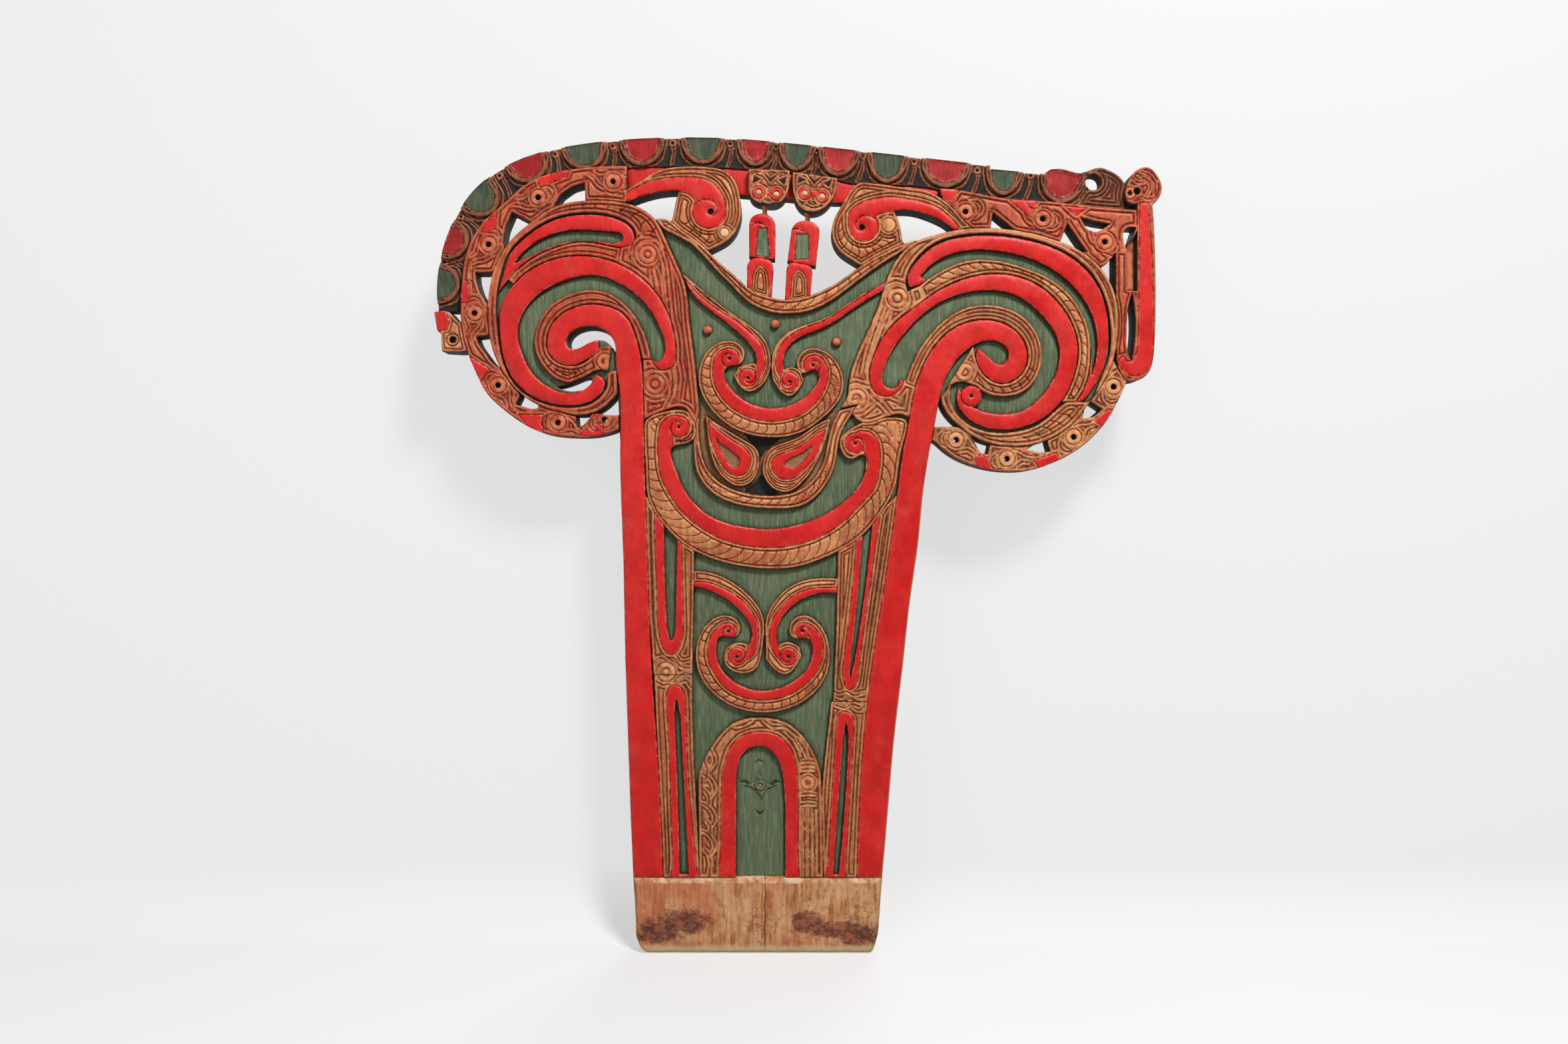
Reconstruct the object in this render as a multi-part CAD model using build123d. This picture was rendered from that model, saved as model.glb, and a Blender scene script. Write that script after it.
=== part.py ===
from build123d import *
import math
import os

os.makedirs("parts", exist_ok=True)

# A carved and painted canoe splashboard, cut from one slab of wood.
# Front faces -Y, the foot stands on z = 0 and x = 0 is the middle of the foot.
# Every outline is read from the front view in drawing units and scaled by the sizes below.

# Overall sizes, in millimetres
board_width = 711.0  # left finial to right finial
board_height = 799.0  # flat of the foot to the top of the frieze

# Depths from the middle plane of the slab
back_depth = 16.0  # to the dressed back
ground_depth = 10.0  # to the sunk green ground
relief_height = 6.0  # bands and ribs above the ground
foot_depth = 15.0  # to the bare front of the foot
rim_depth = 14.0  # to the front of the openwork rims
rim_back = 12.0  # to the back of all openwork
rail_depth = 5.0  # to the front of the rail behind the scrolls and heads
frieze_depth = 7.0  # to the front of the frieze plate
scallop_height = 3.0  # scallops above the frieze plate
scroll_depth = 15.0  # to the front of scrolls, heads and finials
figure_depth = 12.0  # to the front of the figures' bodies
figure_back = 6.0  # to the back of the figures' bodies

# Small sizes
foot_chamfer = 4.0
groove = 0.8  # cut between neighbouring bands
eye_radius = 2.8  # tie holes through the bird heads
scroll_eye_radius = 3.0
stud_radius = 4.5
face_eye_radius = 6.6
face_eye_height = 1.5
spiral_ball_radius = 11.0  # curled end of the right spiral rib
finial_eye_radius = 3.5
curve_error = 0.15  # curves are cut as short straights that stay this close
scallop_lip = 4.0  # scallops run past the frieze edge and are trimmed to it

# The front view was drawn at this width and height, with the foot's flat at this level
drawn_width = 711.0
drawn_height = 799.0
drawn_foot = 4.0
across = board_width / drawn_width
up = board_height / drawn_height
relief_depth = ground_depth + relief_height
beyond = 2 * (back_depth + relief_depth)  # deeper than the whole slab


def at(point):
    """A point of the drawing on the face of the board."""
    return (point[0] * across, (point[1] - drawn_foot) * up)


def outline(*runs):
    """A face bounded by runs of points: two points make a straight run, more make a curve."""
    spots = []
    for points in runs:
        run = [at(p) for p in points]
        for spot in run if len(run) == 2 else straights(Spline(*run)):
            if not spots or math.dist(spots[-1], spot) > 1e-6:
                spots.append(spot)
    if math.dist(spots[0], spots[-1]) < 1e-6:
        spots.pop()
    return Face(Wire.make_polygon([Vector(*s) for s in spots], close=True))


def straights(line):
    """The fewest points whose straight joins stay within the curve error of a curved line."""
    fine = max(8, round(line.length))
    spots = [(v.X, v.Y) for v in (line @ (i / fine) for i in range(fine + 1))]
    kept = [0, fine]
    waiting = [(0, fine)]
    while waiting:
        a, b = waiting.pop()
        (ax, ay), (bx, by) = spots[a], spots[b]
        length = math.dist(spots[a], spots[b])
        worst, error = None, curve_error
        for i in range(a + 1, b):
            x, y = spots[i]
            off = math.dist(spots[a], spots[i])
            if length:
                off = abs((bx - ax) * (y - ay) - (by - ay) * (x - ax)) / length
            if off > error:
                worst, error = i, off
        if worst:
            kept.append(worst)
            waiting += [(a, worst), (worst, b)]
    return [spots[i] for i in sorted(kept)]


def polygon(*points):
    """A straight-sided face."""
    spots = [at(p) for p in points]
    return Face(Wire.make_polygon([Vector(*s) for s in spots], close=True))


def disc(point, radius):
    x, z = at(point)
    return Pos(x, z) * Face(Wire.make_circle(radius))


def slab(face, front, back):
    """A face of the drawing made solid from its front depth to its back depth."""
    return extrude(Plane.XZ.offset(-back) * face, front + back, dir=(0, -1, 0))


def tall(face):
    return slab(face, beyond, beyond)


def raised(face, base, height):
    return slab(face, base + height, -base)


def relief(face):
    return raised(face, ground_depth, relief_height)


def inset(points, toward):
    """An edge drawn in by half a groove towards the band's other edge."""
    moved = []
    for i, p in enumerate(points):
        a = points[max(i - 1, 0)]
        b = points[min(i + 1, len(points) - 1)]
        length = math.dist(a, b)
        side = ((a[1] - b[1]) / length, (b[0] - a[0]) / length)
        near = min(toward, key=lambda q: math.dist(p, q))
        sign = 1 if side[0] * (near[0] - p[0]) + side[1] * (near[1] - p[1]) > 0 else -1
        moved.append((p[0] + sign * side[0] * groove / 2, p[1] + sign * side[1] * groove / 2))
    return moved


def band(outer, inner):
    """The face between two edges, each drawn in by half a groove."""
    return outline(inset(outer, inner), inset(inner, outer)[::-1])


def cut(solid, *tools):
    """A solid less its neighbours. The offcuts fall away."""
    for tool in tools:
        solid = solid - tool
    return max(solid.solids(), key=lambda s: s.volume)


def write(name, shape):
    solids = shape.solids()
    whole = solids[0] if len(solids) == 1 else Compound(children=list(solids))
    whole.label = name
    export_step(whole, f"parts/{name}.step")


# Edges of the stem and of the two volutes, from the foot up
foot_top = 79
stem_left = [
    (-122, foot_top), (-125, 150), (-127, 210), (-130, 300), (-132, 400), (-134.8, 500), (-137, 551),
]
stem_right = [
    (122, foot_top), (128.7, 156), (134.5, 221), (142.3, 286), (149.5, 351), (157, 403), (162, 455),
    (170.5, 507), (178.7, 548),
]
volute_left = [
    (-137, 551), (-145, 542), (-155, 534.5), (-165, 531), (-179, 530), (-193, 533), (-207, 537),
    (-221, 543.6), (-235, 554), (-245, 566), (-253.6, 580), (-259.3, 594.5), (-262.8, 610), (-264, 624),
    (-262, 654), (-255.8, 678), (-243.5, 699), (-220.6, 720), (-197.6, 734.7), (-173, 740), (-144, 740),
    (-116.6, 734), (-99.7, 721.7), (-90.6, 705), (-81, 683.5), (-70, 655.6), (-66.5, 623.5), (-62.6, 593),
    (-58, 550),
]
volute_right = [
    (178.7, 548), (182, 536), (191, 524.4), (203, 514), (216, 506), (232, 501), (254.4, 499.4),
    (276.5, 503), (291, 509.7), (306, 520), (327, 546), (343, 571), (351, 599), (352, 635.6),
    (342.6, 664), (320.6, 687.6), (284, 704), (247, 712), (203, 712.6), (170.6, 706), (155, 701),
]
neck_right = [(155, 701), (126, 664), (117, 636), (104, 606), (93, 580), (88, 550)]
window_edge = [
    (-99.7, 721.7), (-84.5, 719.4), (-77, 713), (-64, 703.7), (-50, 692), (-38, 680), (-25, 669),
    (-12, 657), (-6, 652), (7, 647), (21, 643.5), (39, 644), (52, 647.4), (65, 653), (78, 660),
    (91, 669.4), (104, 678), (117, 685.6), (130, 692), (142, 697.5), (155, 701),
]
neck_left = volute_left[volute_left.index((-99.7, 721.7)):]
left_split = [(-58, 550), (-137, 551)]
right_split = [(88, 550), (178.7, 548)]

# Foot: bare wood, flat underneath with rounded corners
foot_face = outline(
    [(-122, foot_top), (-120, 50), (-119, 27)],
    [(-119, 27), (-117, 15), (-110, 8), (-98, drawn_foot)],
    [(-98, drawn_foot), (100, drawn_foot)],
    [(100, drawn_foot), (112, 9), (116.5, 18), (118.5, 32)],
    [(118.5, 32), (120, 55), (122, foot_top)],
)
foot = slab(foot_face, foot_depth, back_depth)
bevel = Plane.YZ.offset(-board_width / 2) * Face(Wire.make_polygon([
    Vector(-foot_depth, 0),
    Vector(-foot_depth + foot_chamfer, 0),
    Vector(-foot_depth, foot_chamfer),
], close=True))
write("foot", foot - extrude(bevel, board_width))

# Stem board: the sunk ground from the foot to the window
stem_face = outline(
    stem_left, left_split[::-1], neck_left[::-1], window_edge, neck_right, right_split, stem_right[::-1],
)

# Volute boards, the left one pierced by a hook and a lens
hook_hole = outline(
    [
        (-138.5, 589), (-139, 600), (-145, 610), (-162, 617), (-172, 616), (-181, 612), (-186, 606),
        (-186.6, 600), (-184, 596), (-179, 595), (-166, 601), (-155.5, 604.3),
    ],
    [(-155.5, 604.3), (-148, 602.5), (-142, 595), (-138.5, 589)],
)
lens_hole = outline(
    [(-197, 558.5), (-186, 561), (-176, 565), (-169, 567.6), (-163, 567)],
    [(-163, 567), (-162.5, 563), (-165, 558.5), (-173, 555), (-183, 554), (-197, 558.5)],
)
left_volute_face = outline(volute_left, left_split)
right_volute_face = outline(volute_right, neck_right, right_split)
holes = [tall(hook_hole), tall(lens_hole)]
write("left_volute_board", cut(slab(left_volute_face, ground_depth, back_depth), *holes))
write("right_volute_board", slab(right_volute_face, ground_depth, back_depth))
volute_cutters = [tall(left_volute_face), tall(right_volute_face)]
write("stem_board", cut(slab(stem_face, ground_depth, back_depth), *volute_cutters))
board_cutters = [tall(stem_face), *volute_cutters]

# Border ribs, which run up the stem and turn into hooks
left_rib_inner = [
    (-92, foot_top), (-94.5, 150), (-97.4, 200), (-101, 250), (-106, 350), (-109, 450), (-110.6, 500),
    (-111.3, 550), (-113, 580), (-119.5, 610), (-131.5, 630), (-150.6, 638), (-164.7, 639),
    (-178.8, 636), (-190.8, 630), (-200.7, 620), (-206, 606), (-204, 590), (-194, 581), (-182, 578.5),
    (-167.5, 584), (-155, 592),
]
left_rib_outer = stem_left[:-1] + [
    (-136, 560), (-138.5, 589), (-139, 600), (-145, 610), (-162, 617), (-172, 616), (-181, 612),
    (-186, 606), (-186.6, 600), (-184, 596), (-179, 595), (-166, 601), (-156, 604),
]
left_rib = relief(
    outline(inset(left_rib_inner, left_rib_outer), inset(left_rib_outer, left_rib_inner)[::-1])
)
right_rib_inner = [
    (96, foot_top), (101.7, 200), (106.3, 250), (113, 300), (121, 350), (128.5, 400), (135.4, 450),
    (142, 499), (148, 529), (153.7, 558), (162, 580), (175, 601), (194, 617), (217.6, 623.7),
    (241, 620), (259, 605), (264, 587.6), (256, 568.5), (238, 561), (222, 568.5), (213.5, 593.5),
]
right_rib_outer = stem_right[:-1] + [
    (175, 530), (180, 555), (189.7, 577), (203, 593.5), (220.6, 603), (238, 600), (245, 589),
    (238, 580), (228, 585.4), (216, 596),
]
right_rib = relief(
    outline(inset(right_rib_inner, right_rib_outer), inset(right_rib_outer, right_rib_inner)[::-1])
)
left_rib = cut(left_rib, tall(foot_face))
right_rib = cut(right_rib, tall(foot_face))
write("left_border_rib", left_rib)
write("right_border_rib", right_rib)

# Left volute: outer band, hairpin rib, second band, spiral rib and inner band, from outside in
left_spiral_low = [
    (-250.8, 638), (-252.5, 610), (-248.7, 586), (-236.7, 562), (-215.5, 546), (-188.7, 539.4),
    (-167.5, 541.5), (-152, 552), (-148.5, 562), (-158, 570.5),
]
left_spiral_high = [
    (-103, 585), (-100, 577.6), (-92, 573.8), (-81.8, 579), (-79.5, 590), (-83, 617), (-94, 643),
    (-111, 663), (-136.5, 679),
]
left_second_inner = [(-136.5, 679), (-164.7, 686), (-190, 685), (-220.6, 673.5), (-238, 658.5)]
left_second_outer = [(-134, 693.5), (-152, 697), (-167, 699.5), (-197.6, 694), (-225, 680.4), (-243, 663)]
left_spiral_outer = left_spiral_high + left_second_inner[1:-1] + [(-240.5, 656)] + left_spiral_low
left_hairpin_outer = [
    (-253.5, 651), (-248, 671), (-243.5, 685), (-225, 706), (-197.6, 721.7), (-167, 726.6),
    (-139.5, 723), (-121, 709.5), (-119.6, 702), (-123.5, 696),
]
left_slot = outline(
    [(-237, 679), (-216, 700), (-190, 710), (-159, 711), (-135, 708.7)],
    [(-135, 708.7), (-130.5, 704), (-139.5, 698)],
    [(-139.5, 698), (-167, 700.6), (-197.6, 696.5), (-225, 684), (-237, 679)],
)
left_spiral_inner = [
    (-103, 585), (-97, 582), (-91, 590), (-94, 612.8), (-107.8, 637), (-135, 659.4), (-160.5, 667.5),
    (-184.5, 663.6), (-210, 651), (-227.5, 632.6), (-234, 613), (-230, 591.6), (-220, 572),
    (-201.4, 557), (-183, 552), (-164.7, 558.5), (-159, 568),
]
left_outer_inner = [
    (-138, 574), (-147, 571), (-147, 562), (-152, 550), (-167.5, 540), (-188.7, 538), (-215.5, 544.5),
    (-237.5, 561), (-249.5, 586), (-253.5, 610), (-254, 652), (-249.5, 672), (-244.5, 686),
    (-225.5, 707), (-197.6, 723), (-167, 727.8), (-139.5, 724.2), (-120, 710), (-119, 703),
]
left_spiral = relief(outline(
    inset(left_spiral_outer, left_spiral_inner), inset(left_spiral_inner, left_spiral_low)[::-1],
))
left_hairpin = relief(band(left_hairpin_outer, left_second_outer[::-1])) - tall(left_slot)
left_second = relief(band(left_second_outer, left_second_inner))
left_inner = relief(band(
    [
        (-104, 585), (-109.5, 608), (-122.3, 631), (-142, 648), (-160, 653), (-180, 650), (-202.8, 637.5),
        (-216, 617), (-218.6, 598.7), (-211, 579), (-196, 565), (-182, 561.5), (-167.5, 568.5),
        (-158, 573.5), (-146, 573),
    ],
    [
        (-113, 585), (-119.5, 610), (-131.5, 630), (-150.6, 638), (-164.7, 639), (-178.8, 636),
        (-190.8, 630), (-200.7, 620), (-206, 606), (-204, 590), (-194, 581), (-182, 578.5), (-165, 585),
        (-155, 596), (-143, 598),
    ],
))
left_outer = relief(outline(
    inset(volute_left, left_outer_inner),
    [(-57, 535), (-62, 522.5), (-69, 535.5), (-90, 535.5), (-111, 526)],
    [(-112, 584.5), (-103, 584.5)],
    left_spiral_high[1:],
    [(-136.5, 692.5), (-122, 699)],
    inset(left_outer_inner, volute_left)[::-1],
))
left_rib_way = tall(outline(left_rib_inner, left_rib_outer[::-1]))
left_spiral = cut(left_spiral, left_rib_way, *holes)
left_inner = cut(left_inner, left_rib, left_spiral, *holes)
left_second = cut(left_second, left_spiral, left_hairpin)
left_outer = cut(left_outer, left_rib_way, left_spiral, left_hairpin, left_second, left_inner, *holes)
write("left_spiral_rib", left_spiral)
write("left_hairpin_rib", left_hairpin)
write("left_second_band", left_second)
write("left_inner_band", left_inner)
write("left_outer_band", left_outer)

# Right volute, built in the same order
right_spiral_outer = [
    (143, 563), (138.5, 554.5), (132, 549.4), (123.5, 548), (114.7, 552), (109.6, 561), (112, 586),
    (125, 611), (148.5, 633), (179.4, 654), (214.7, 667), (250, 667), (279.4, 654), (301.5, 630),
    (312.5, 602), (310, 571.5), (297, 543.5), (273.5, 523.7), (244, 515.6), (216, 520), (197, 536),
    (195.6, 557),
]
right_spiral_inner = [
    (138.5, 566), (131.5, 556.5), (124, 560), (124, 576), (137, 601), (157, 624.4), (185, 643.5),
    (217.6, 651.6), (253, 646.5), (278, 627), (292.6, 604), (293, 577), (279.4, 552), (256, 534),
    (229.4, 532.5), (212, 538), (203, 546),
]
right_third_outer = [
    (158, 656.5), (176.5, 670), (203, 681), (232, 681.8), (262, 674), (289.7, 661), (312, 639),
    (323.5, 612.6), (325, 583), (317.6, 554), (310, 543),
]
right_third_inner = [
    (163, 643.5), (179.4, 654), (214.7, 667), (250, 667), (279.4, 654), (301.5, 630), (312.5, 602),
    (310, 571.5), (297, 543.5),
]
right_hairpin_outer = [
    (148, 655), (145.6, 662), (154.4, 680), (173.5, 696.5), (203, 705), (232, 706), (262, 702),
    (291, 693), (317.6, 676), (335, 652), (343, 615), (342, 591.5), (331.5, 562), (318, 544),
]
right_slot = outline(
    [(159, 665.6), (173.5, 680), (203, 691), (232, 691), (262, 684.7), (301.5, 662.6), (328, 624.4),
     (331.6, 595), (326.5, 570)],
    [(326.5, 570), (325.7, 598), (319, 626), (301.5, 651), (276.5, 668.5), (247, 679.6), (217.6, 682.5),
     (188, 676), (164.7, 662.6), (159, 665.6)],
)
right_inner_edge = [
    (153.7, 558), (162, 580), (175, 601), (194, 617), (217.6, 623.7), (241, 620), (259, 605),
    (264, 587.6), (256, 568.5), (238, 561), (222, 568.5), (214.5, 581), (211, 598),
]
right_band_edge = [
    (144, 562), (157, 593.5), (176.5, 618.5), (203, 635.4), (232, 637.6), (260, 626), (275.7, 604),
    (276.5, 577), (263, 555), (242.6, 548), (224, 551), (206, 561), (184, 556),
]
right_outer_inner = [
    (190, 562), (192, 536), (214, 517.5), (244, 513.5), (274.5, 522), (299, 542), (309, 546), (320, 543),
    (333, 561.5), (343.5, 591), (344.5, 615), (336, 652.6), (318.5, 677), (291, 694.3), (262, 703.4),
    (232, 707.4), (203, 706.4), (173, 698), (153.4, 681), (144, 662), (146, 651),
]
right_rib_way = tall(outline(right_rib_inner, right_rib_outer[::-1]))
right_spiral = relief(band(right_spiral_outer, right_spiral_inner))
right_spiral = right_spiral + relief(disc((208.5, 549), spiral_ball_radius))
right_spiral = cut(right_spiral, right_rib_way)
right_third = cut(relief(band(right_third_outer, right_third_inner)), right_spiral)
right_hairpin = cut(relief(band(right_hairpin_outer, right_third_outer)), tall(right_slot))
right_inner = cut(relief(band(right_band_edge, right_inner_edge)), right_rib, right_spiral)
right_outer = relief(outline(
    inset(volute_right, right_outer_inner),
    inset(neck_right, right_spiral_inner),
    [(81, 537), (99, 541)],
    [(99, 541), (93, 531), (101, 523.5), (128, 529.5), (149, 527)],
    [(153, 549), (157, 572)],
    [(146, 566), (130, 556)],
    right_spiral_outer[4:9],
    [(163, 644), (158, 656)],
    inset(right_outer_inner, volute_right)[::-1],
))
right_outer = cut(right_outer, right_rib_way, right_spiral, right_third, right_hairpin, right_inner)
write("right_spiral_rib", right_spiral)
write("right_third_band", right_third)
write("right_hairpin_rib", right_hairpin)
write("right_inner_band", right_inner)
write("right_outer_band", right_outer)

# Window band along the dip between the volutes
window_low = [
    (-66, 698), (-51, 683), (-39, 669.4), (-25, 655.6), (-13, 643.4), (2.4, 634), (17.7, 629.6),
    (33, 629), (48, 631), (63.5, 637), (79, 646.5), (94, 658), (109.4, 669.4), (124.7, 680), (140, 689),
]
window_band = relief(outline(
    window_edge, inset(window_low, window_edge)[::-1], [(-84, 708), (-92, 712)],
))
window_band = cut(window_band, left_outer, right_outer)
write("window_band", window_band)

# Horns: paired scrolled stalks, each ending in a round ball
upper_horn_left = outline(
    [(-74, 669), (-54, 652.6), (-31, 634), (-7, 617.4), (8, 602), (12.6, 587), (12, 573)],
    [(7, 562), (-8.3, 553), (-23.6, 568.5)],
    [(-19, 577), (-10, 580), (-1.5, 580.7)],
    [(-1.5, 580.7), (-2.2, 590), (-14.5, 606.7), (-36, 625), (-59, 643.4), (-68, 655.6)],
)
upper_horn_right = outline(
    [(124.7, 659.5), (94, 643.4), (63.5, 624), (33, 613), (19, 601), (13.8, 587), (13.6, 573)],
    [(14.6, 565), (31.4, 548.6), (45, 564)],
    [(42, 573), (34, 577), (25.5, 575)],
    [(25.5, 575), (25.5, 587), (34.5, 602), (60.5, 614), (91, 632.7), (122, 652)],
)
lower_horn_left = outline(
    [(-64, 378), (-50.5, 377.4), (-26, 368), (-4.6, 350), (5.4, 333), (6.5, 318), (5, 305)],
    [(3, 293), (-12, 278), (-31, 285.6), (-33, 295)],
    [(-31, 303), (-20, 308), (-9, 306)],
    [(-9, 306), (-5.3, 318), (-17, 339), (-38, 355), (-62.7, 363)],
)
lower_horn_right = outline(
    [(79.5, 370.5), (62.7, 371), (35, 365), (15.3, 347), (8, 331), (7.3, 318), (8, 305)],
    [(8, 292), (27.5, 277), (42.8, 295)],
    [(40.5, 304), (30.6, 308.6), (20, 306)],
    [(20, 306), (18.4, 318), (27.5, 337.6), (49, 353), (79.5, 356)],
)
upper_left = cut(relief(upper_horn_left), left_outer)
upper_right = cut(relief(upper_horn_right), right_outer, upper_left)
write("upper_left_horn", upper_left)
write("upper_right_horn", upper_right)

# Side loops: long hairpins up both sides of the stem, in two tiers
loops = {
    "left_upper_loop": (
        [(-110, 452), (-107, 350), (-103, 300), (-101, 277.4)],
        [(-64, 277.4), (-63, 320), (-62.5, 350), (-62, 405)],
        outline([(-91, 440), (-90, 350), (-88.5, 322)], [(-88.5, 322), (-84.5, 310), (-80.5, 322)],
                [(-80.5, 322), (-80, 350), (-78, 430)]),
    ),
    "left_lower_loop": (
        [(-100.5, 276.6), (-97.5, 200), (-94.7, 150), (-92.2, foot_top)],
        [(-57, foot_top), (-60, 150), (-62.5, 200), (-64, 276.6)],
        outline([(-76, 82), (-77.6, 150), (-81, 235)], [(-81, 235), (-79.5, 252), (-75.5, 235)],
                [(-75.5, 235), (-71, 150), (-67.5, 82)]),
    ),
    "right_upper_loop": (
        [(78.5, 398), (77, 330), (74, 251.4)],
        [(108, 251.4), (113.5, 300), (121.5, 350), (128.5, 395), (136, 452)],
        outline([(103, 420), (97.5, 350), (92, 300)], [(92, 300), (90.2, 274), (96, 300)],
                [(96, 300), (103.5, 350), (112.5, 430)]),
    ),
    "right_lower_loop": (
        [(72, 250.6), (66, 200), (62, 150), (64.8, foot_top)],
        [(97, foot_top), (100, 150), (102.5, 200), (107, 250.6)],
        outline([(73.8, 82), (78.5, 150), (83.5, 212)], [(83.5, 212), (86.5, 229), (88.5, 212)],
                [(88.5, 212), (85, 150), (79, 82)]),
    ),
}

# Arch over the green panel at the foot of the stem
arch_face = outline(
    [(-57, foot_top), (-58, 178)],
    [(-58, 178), (-54, 190), (-44, 208), (-23, 230), (3, 235), (29, 229.4), (50.5, 208), (59, 190),
     (62, 178)],
    [(62, 178), (64, foot_top)],
    [(26.8, foot_top), (26.8, 150)],
    [(26.8, 150), (25, 174), (19, 195), (4.6, 207), (-12, 202), (-20, 184), (-21, 150)],
    [(-21, 150), (-21.4, foot_top)],
)
star_face = outline(
    [(2, 184), (5, 174), (19, 168)], [(19, 168), (8, 162), (4, 153)],
    [(4, 153), (-1, 162), (-14, 168)], [(-14, 168), (-2, 174), (2, 184)],
)
star_height = 2.0
arch = relief(arch_face)
write("arch", arch)
write("panel_star", raised(star_face, ground_depth, star_height))
loop_solids = {}
for name, (left_edge, right_edge, slot) in loops.items():
    loop_solids[name] = cut(relief(outline(left_edge, right_edge)), tall(slot), arch, left_rib, right_rib)

# Crescents, each with a ball at both tips, round the horns
lower_crescent_outer = [
    (-17, 322), (-21.4, 331.5), (-30.6, 335), (-50.5, 325.4), (-60.4, 302.5), (-56.6, 276.5),
    (-38, 253.5), (-9, 241), (20, 241), (49, 253.5), (67.3, 276.5), (70, 304), (59.7, 327),
    (45, 335), (33.7, 330), (30.6, 322),
]
lower_crescent_inner = [
    (30.6, 322), (36, 312), (50.5, 311.6), (53.5, 300), (49, 284), (29, 267), (3, 261), (-23, 270),
    (-38, 287), (-40.5, 303), (-36.7, 314), (-24, 313), (-17, 322),
]
lower_crescent = cut(relief(outline(lower_crescent_outer, lower_crescent_inner)), arch)
upper_crescent_outer = [
    (-13, 587), (-15, 597), (-22, 602), (-42, 599), (-56, 580.7), (-57, 558), (-45, 535),
    (-20.6, 515.7), (10, 508.5), (40.6, 512.6), (66.6, 530), (82.7, 551.6), (82, 573), (68, 591.4),
    (50, 595.5), (40, 588), (39, 576),
]
upper_crescent_inner = [
    (39, 576), (46, 571), (56, 575), (60, 568), (56, 558), (40, 544), (17.7, 537), (-11.4, 544),
    (-30, 562), (-33, 571), (-30, 577), (-20, 579), (-13, 587),
]
upper_crescent = relief(outline(upper_crescent_outer, upper_crescent_inner))
upper_crescent = cut(upper_crescent, left_outer, right_outer, upper_left, upper_right)
big_crescent_outer = [
    (-61, 521), (-69, 534), (-90, 534), (-109.5, 525), (-110, 490), (-107, 449), (-92, 423),
    (-66, 400), (-35, 387), (0, 380.8), (38, 382), (69, 392.7), (96.4, 408), (119, 432.5),
    (134, 460), (141, 500), (145, 525), (128, 528), (100, 522), (84, 512),
]
big_crescent_inner = [
    (84, 512), (80, 500), (92, 487), (104, 492), (105.6, 480), (98.7, 461), (76.5, 440), (47.4, 425.6),
    (17, 419.5), (-17, 421.8), (-47.4, 432.5), (-68, 452), (-80, 476.7), (-82.5, 500), (-72, 502),
    (-61, 521),
]
big_crescent = relief(outline(big_crescent_outer, big_crescent_inner))
big_crescent = cut(big_crescent, left_rib_way, right_rib_way, left_outer, right_outer)
write("lower_crescent", lower_crescent)
write("upper_crescent", upper_crescent)
write("big_crescent", big_crescent)
write("lower_left_horn", cut(relief(lower_horn_left), loop_solids["left_upper_loop"]))
lower_right = cut(relief(lower_horn_right), loop_solids["right_upper_loop"], relief(lower_horn_left))
write("lower_right_horn", lower_right)
for name, solid in loop_solids.items():
    others = [big_crescent, lower_crescent]
    write(name, cut(solid, *others))

# Throat: a U band with two teardrops lying in it
throat_outer = [
    (-62, 521), (-62.6, 498), (-59, 473.6), (-43.5, 453.7), (-20.6, 443), (15, 439), (46, 443),
    (63.5, 458), (76.5, 486), (79, 505), (86, 522), (100, 540),
]
throat_inner = [
    (-57, 534), (-56, 498), (-46.6, 473.6), (-25, 458), (10, 451.5), (40.6, 457), (62, 480),
    (69.7, 510), (80, 535),
]
left_drop = outline(
    [(-51, 530), (-36, 519.5), (-10, 504), (-0.7, 496.6), (1.6, 487.4), (-5, 466), (-22, 461.4)],
    [(-22, 461.4), (-40.5, 478), (-48, 502.7), (-51, 530)],
)
right_drop = outline(
    [(71, 527), (68, 512), (56, 481), (36, 458)],
    [(36, 458), (26, 455), (16, 458), (4.7, 476.7), (11.5, 496.6), (36, 507), (60.5, 522.6), (71, 527)],
)
left_core = outline(
    [(-40, 506), (-24, 494)], [(-24, 494), (-18, 485), (-26, 480.5)],
    [(-26, 480.5), (-35, 492), (-40, 506)],
)
right_core = outline(
    [(52, 499), (44, 485), (34, 479), (25.5, 483)], [(25.5, 483), (36, 490), (52, 499)],
)
drops = [cut(relief(left_drop), upper_crescent), cut(relief(right_drop), upper_crescent)]
sunk_core = ground_depth + relief_height / 2
drops = [d - slab(c, beyond, -sunk_core) for d, c in zip(drops, [left_core, right_core])]
throat = cut(relief(outline(throat_outer, throat_inner[::-1])), upper_crescent, big_crescent, *drops)
throat = cut(throat, left_outer, right_outer)
write("left_teardrop", drops[0])
write("right_teardrop", drops[1])
write("throat_band", throat)
studs = [relief(disc(p, stud_radius)) for p in [(-49, 614), (17, 619.5), (77, 602)]]
write("ground_studs", Compound(children=studs))

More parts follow.
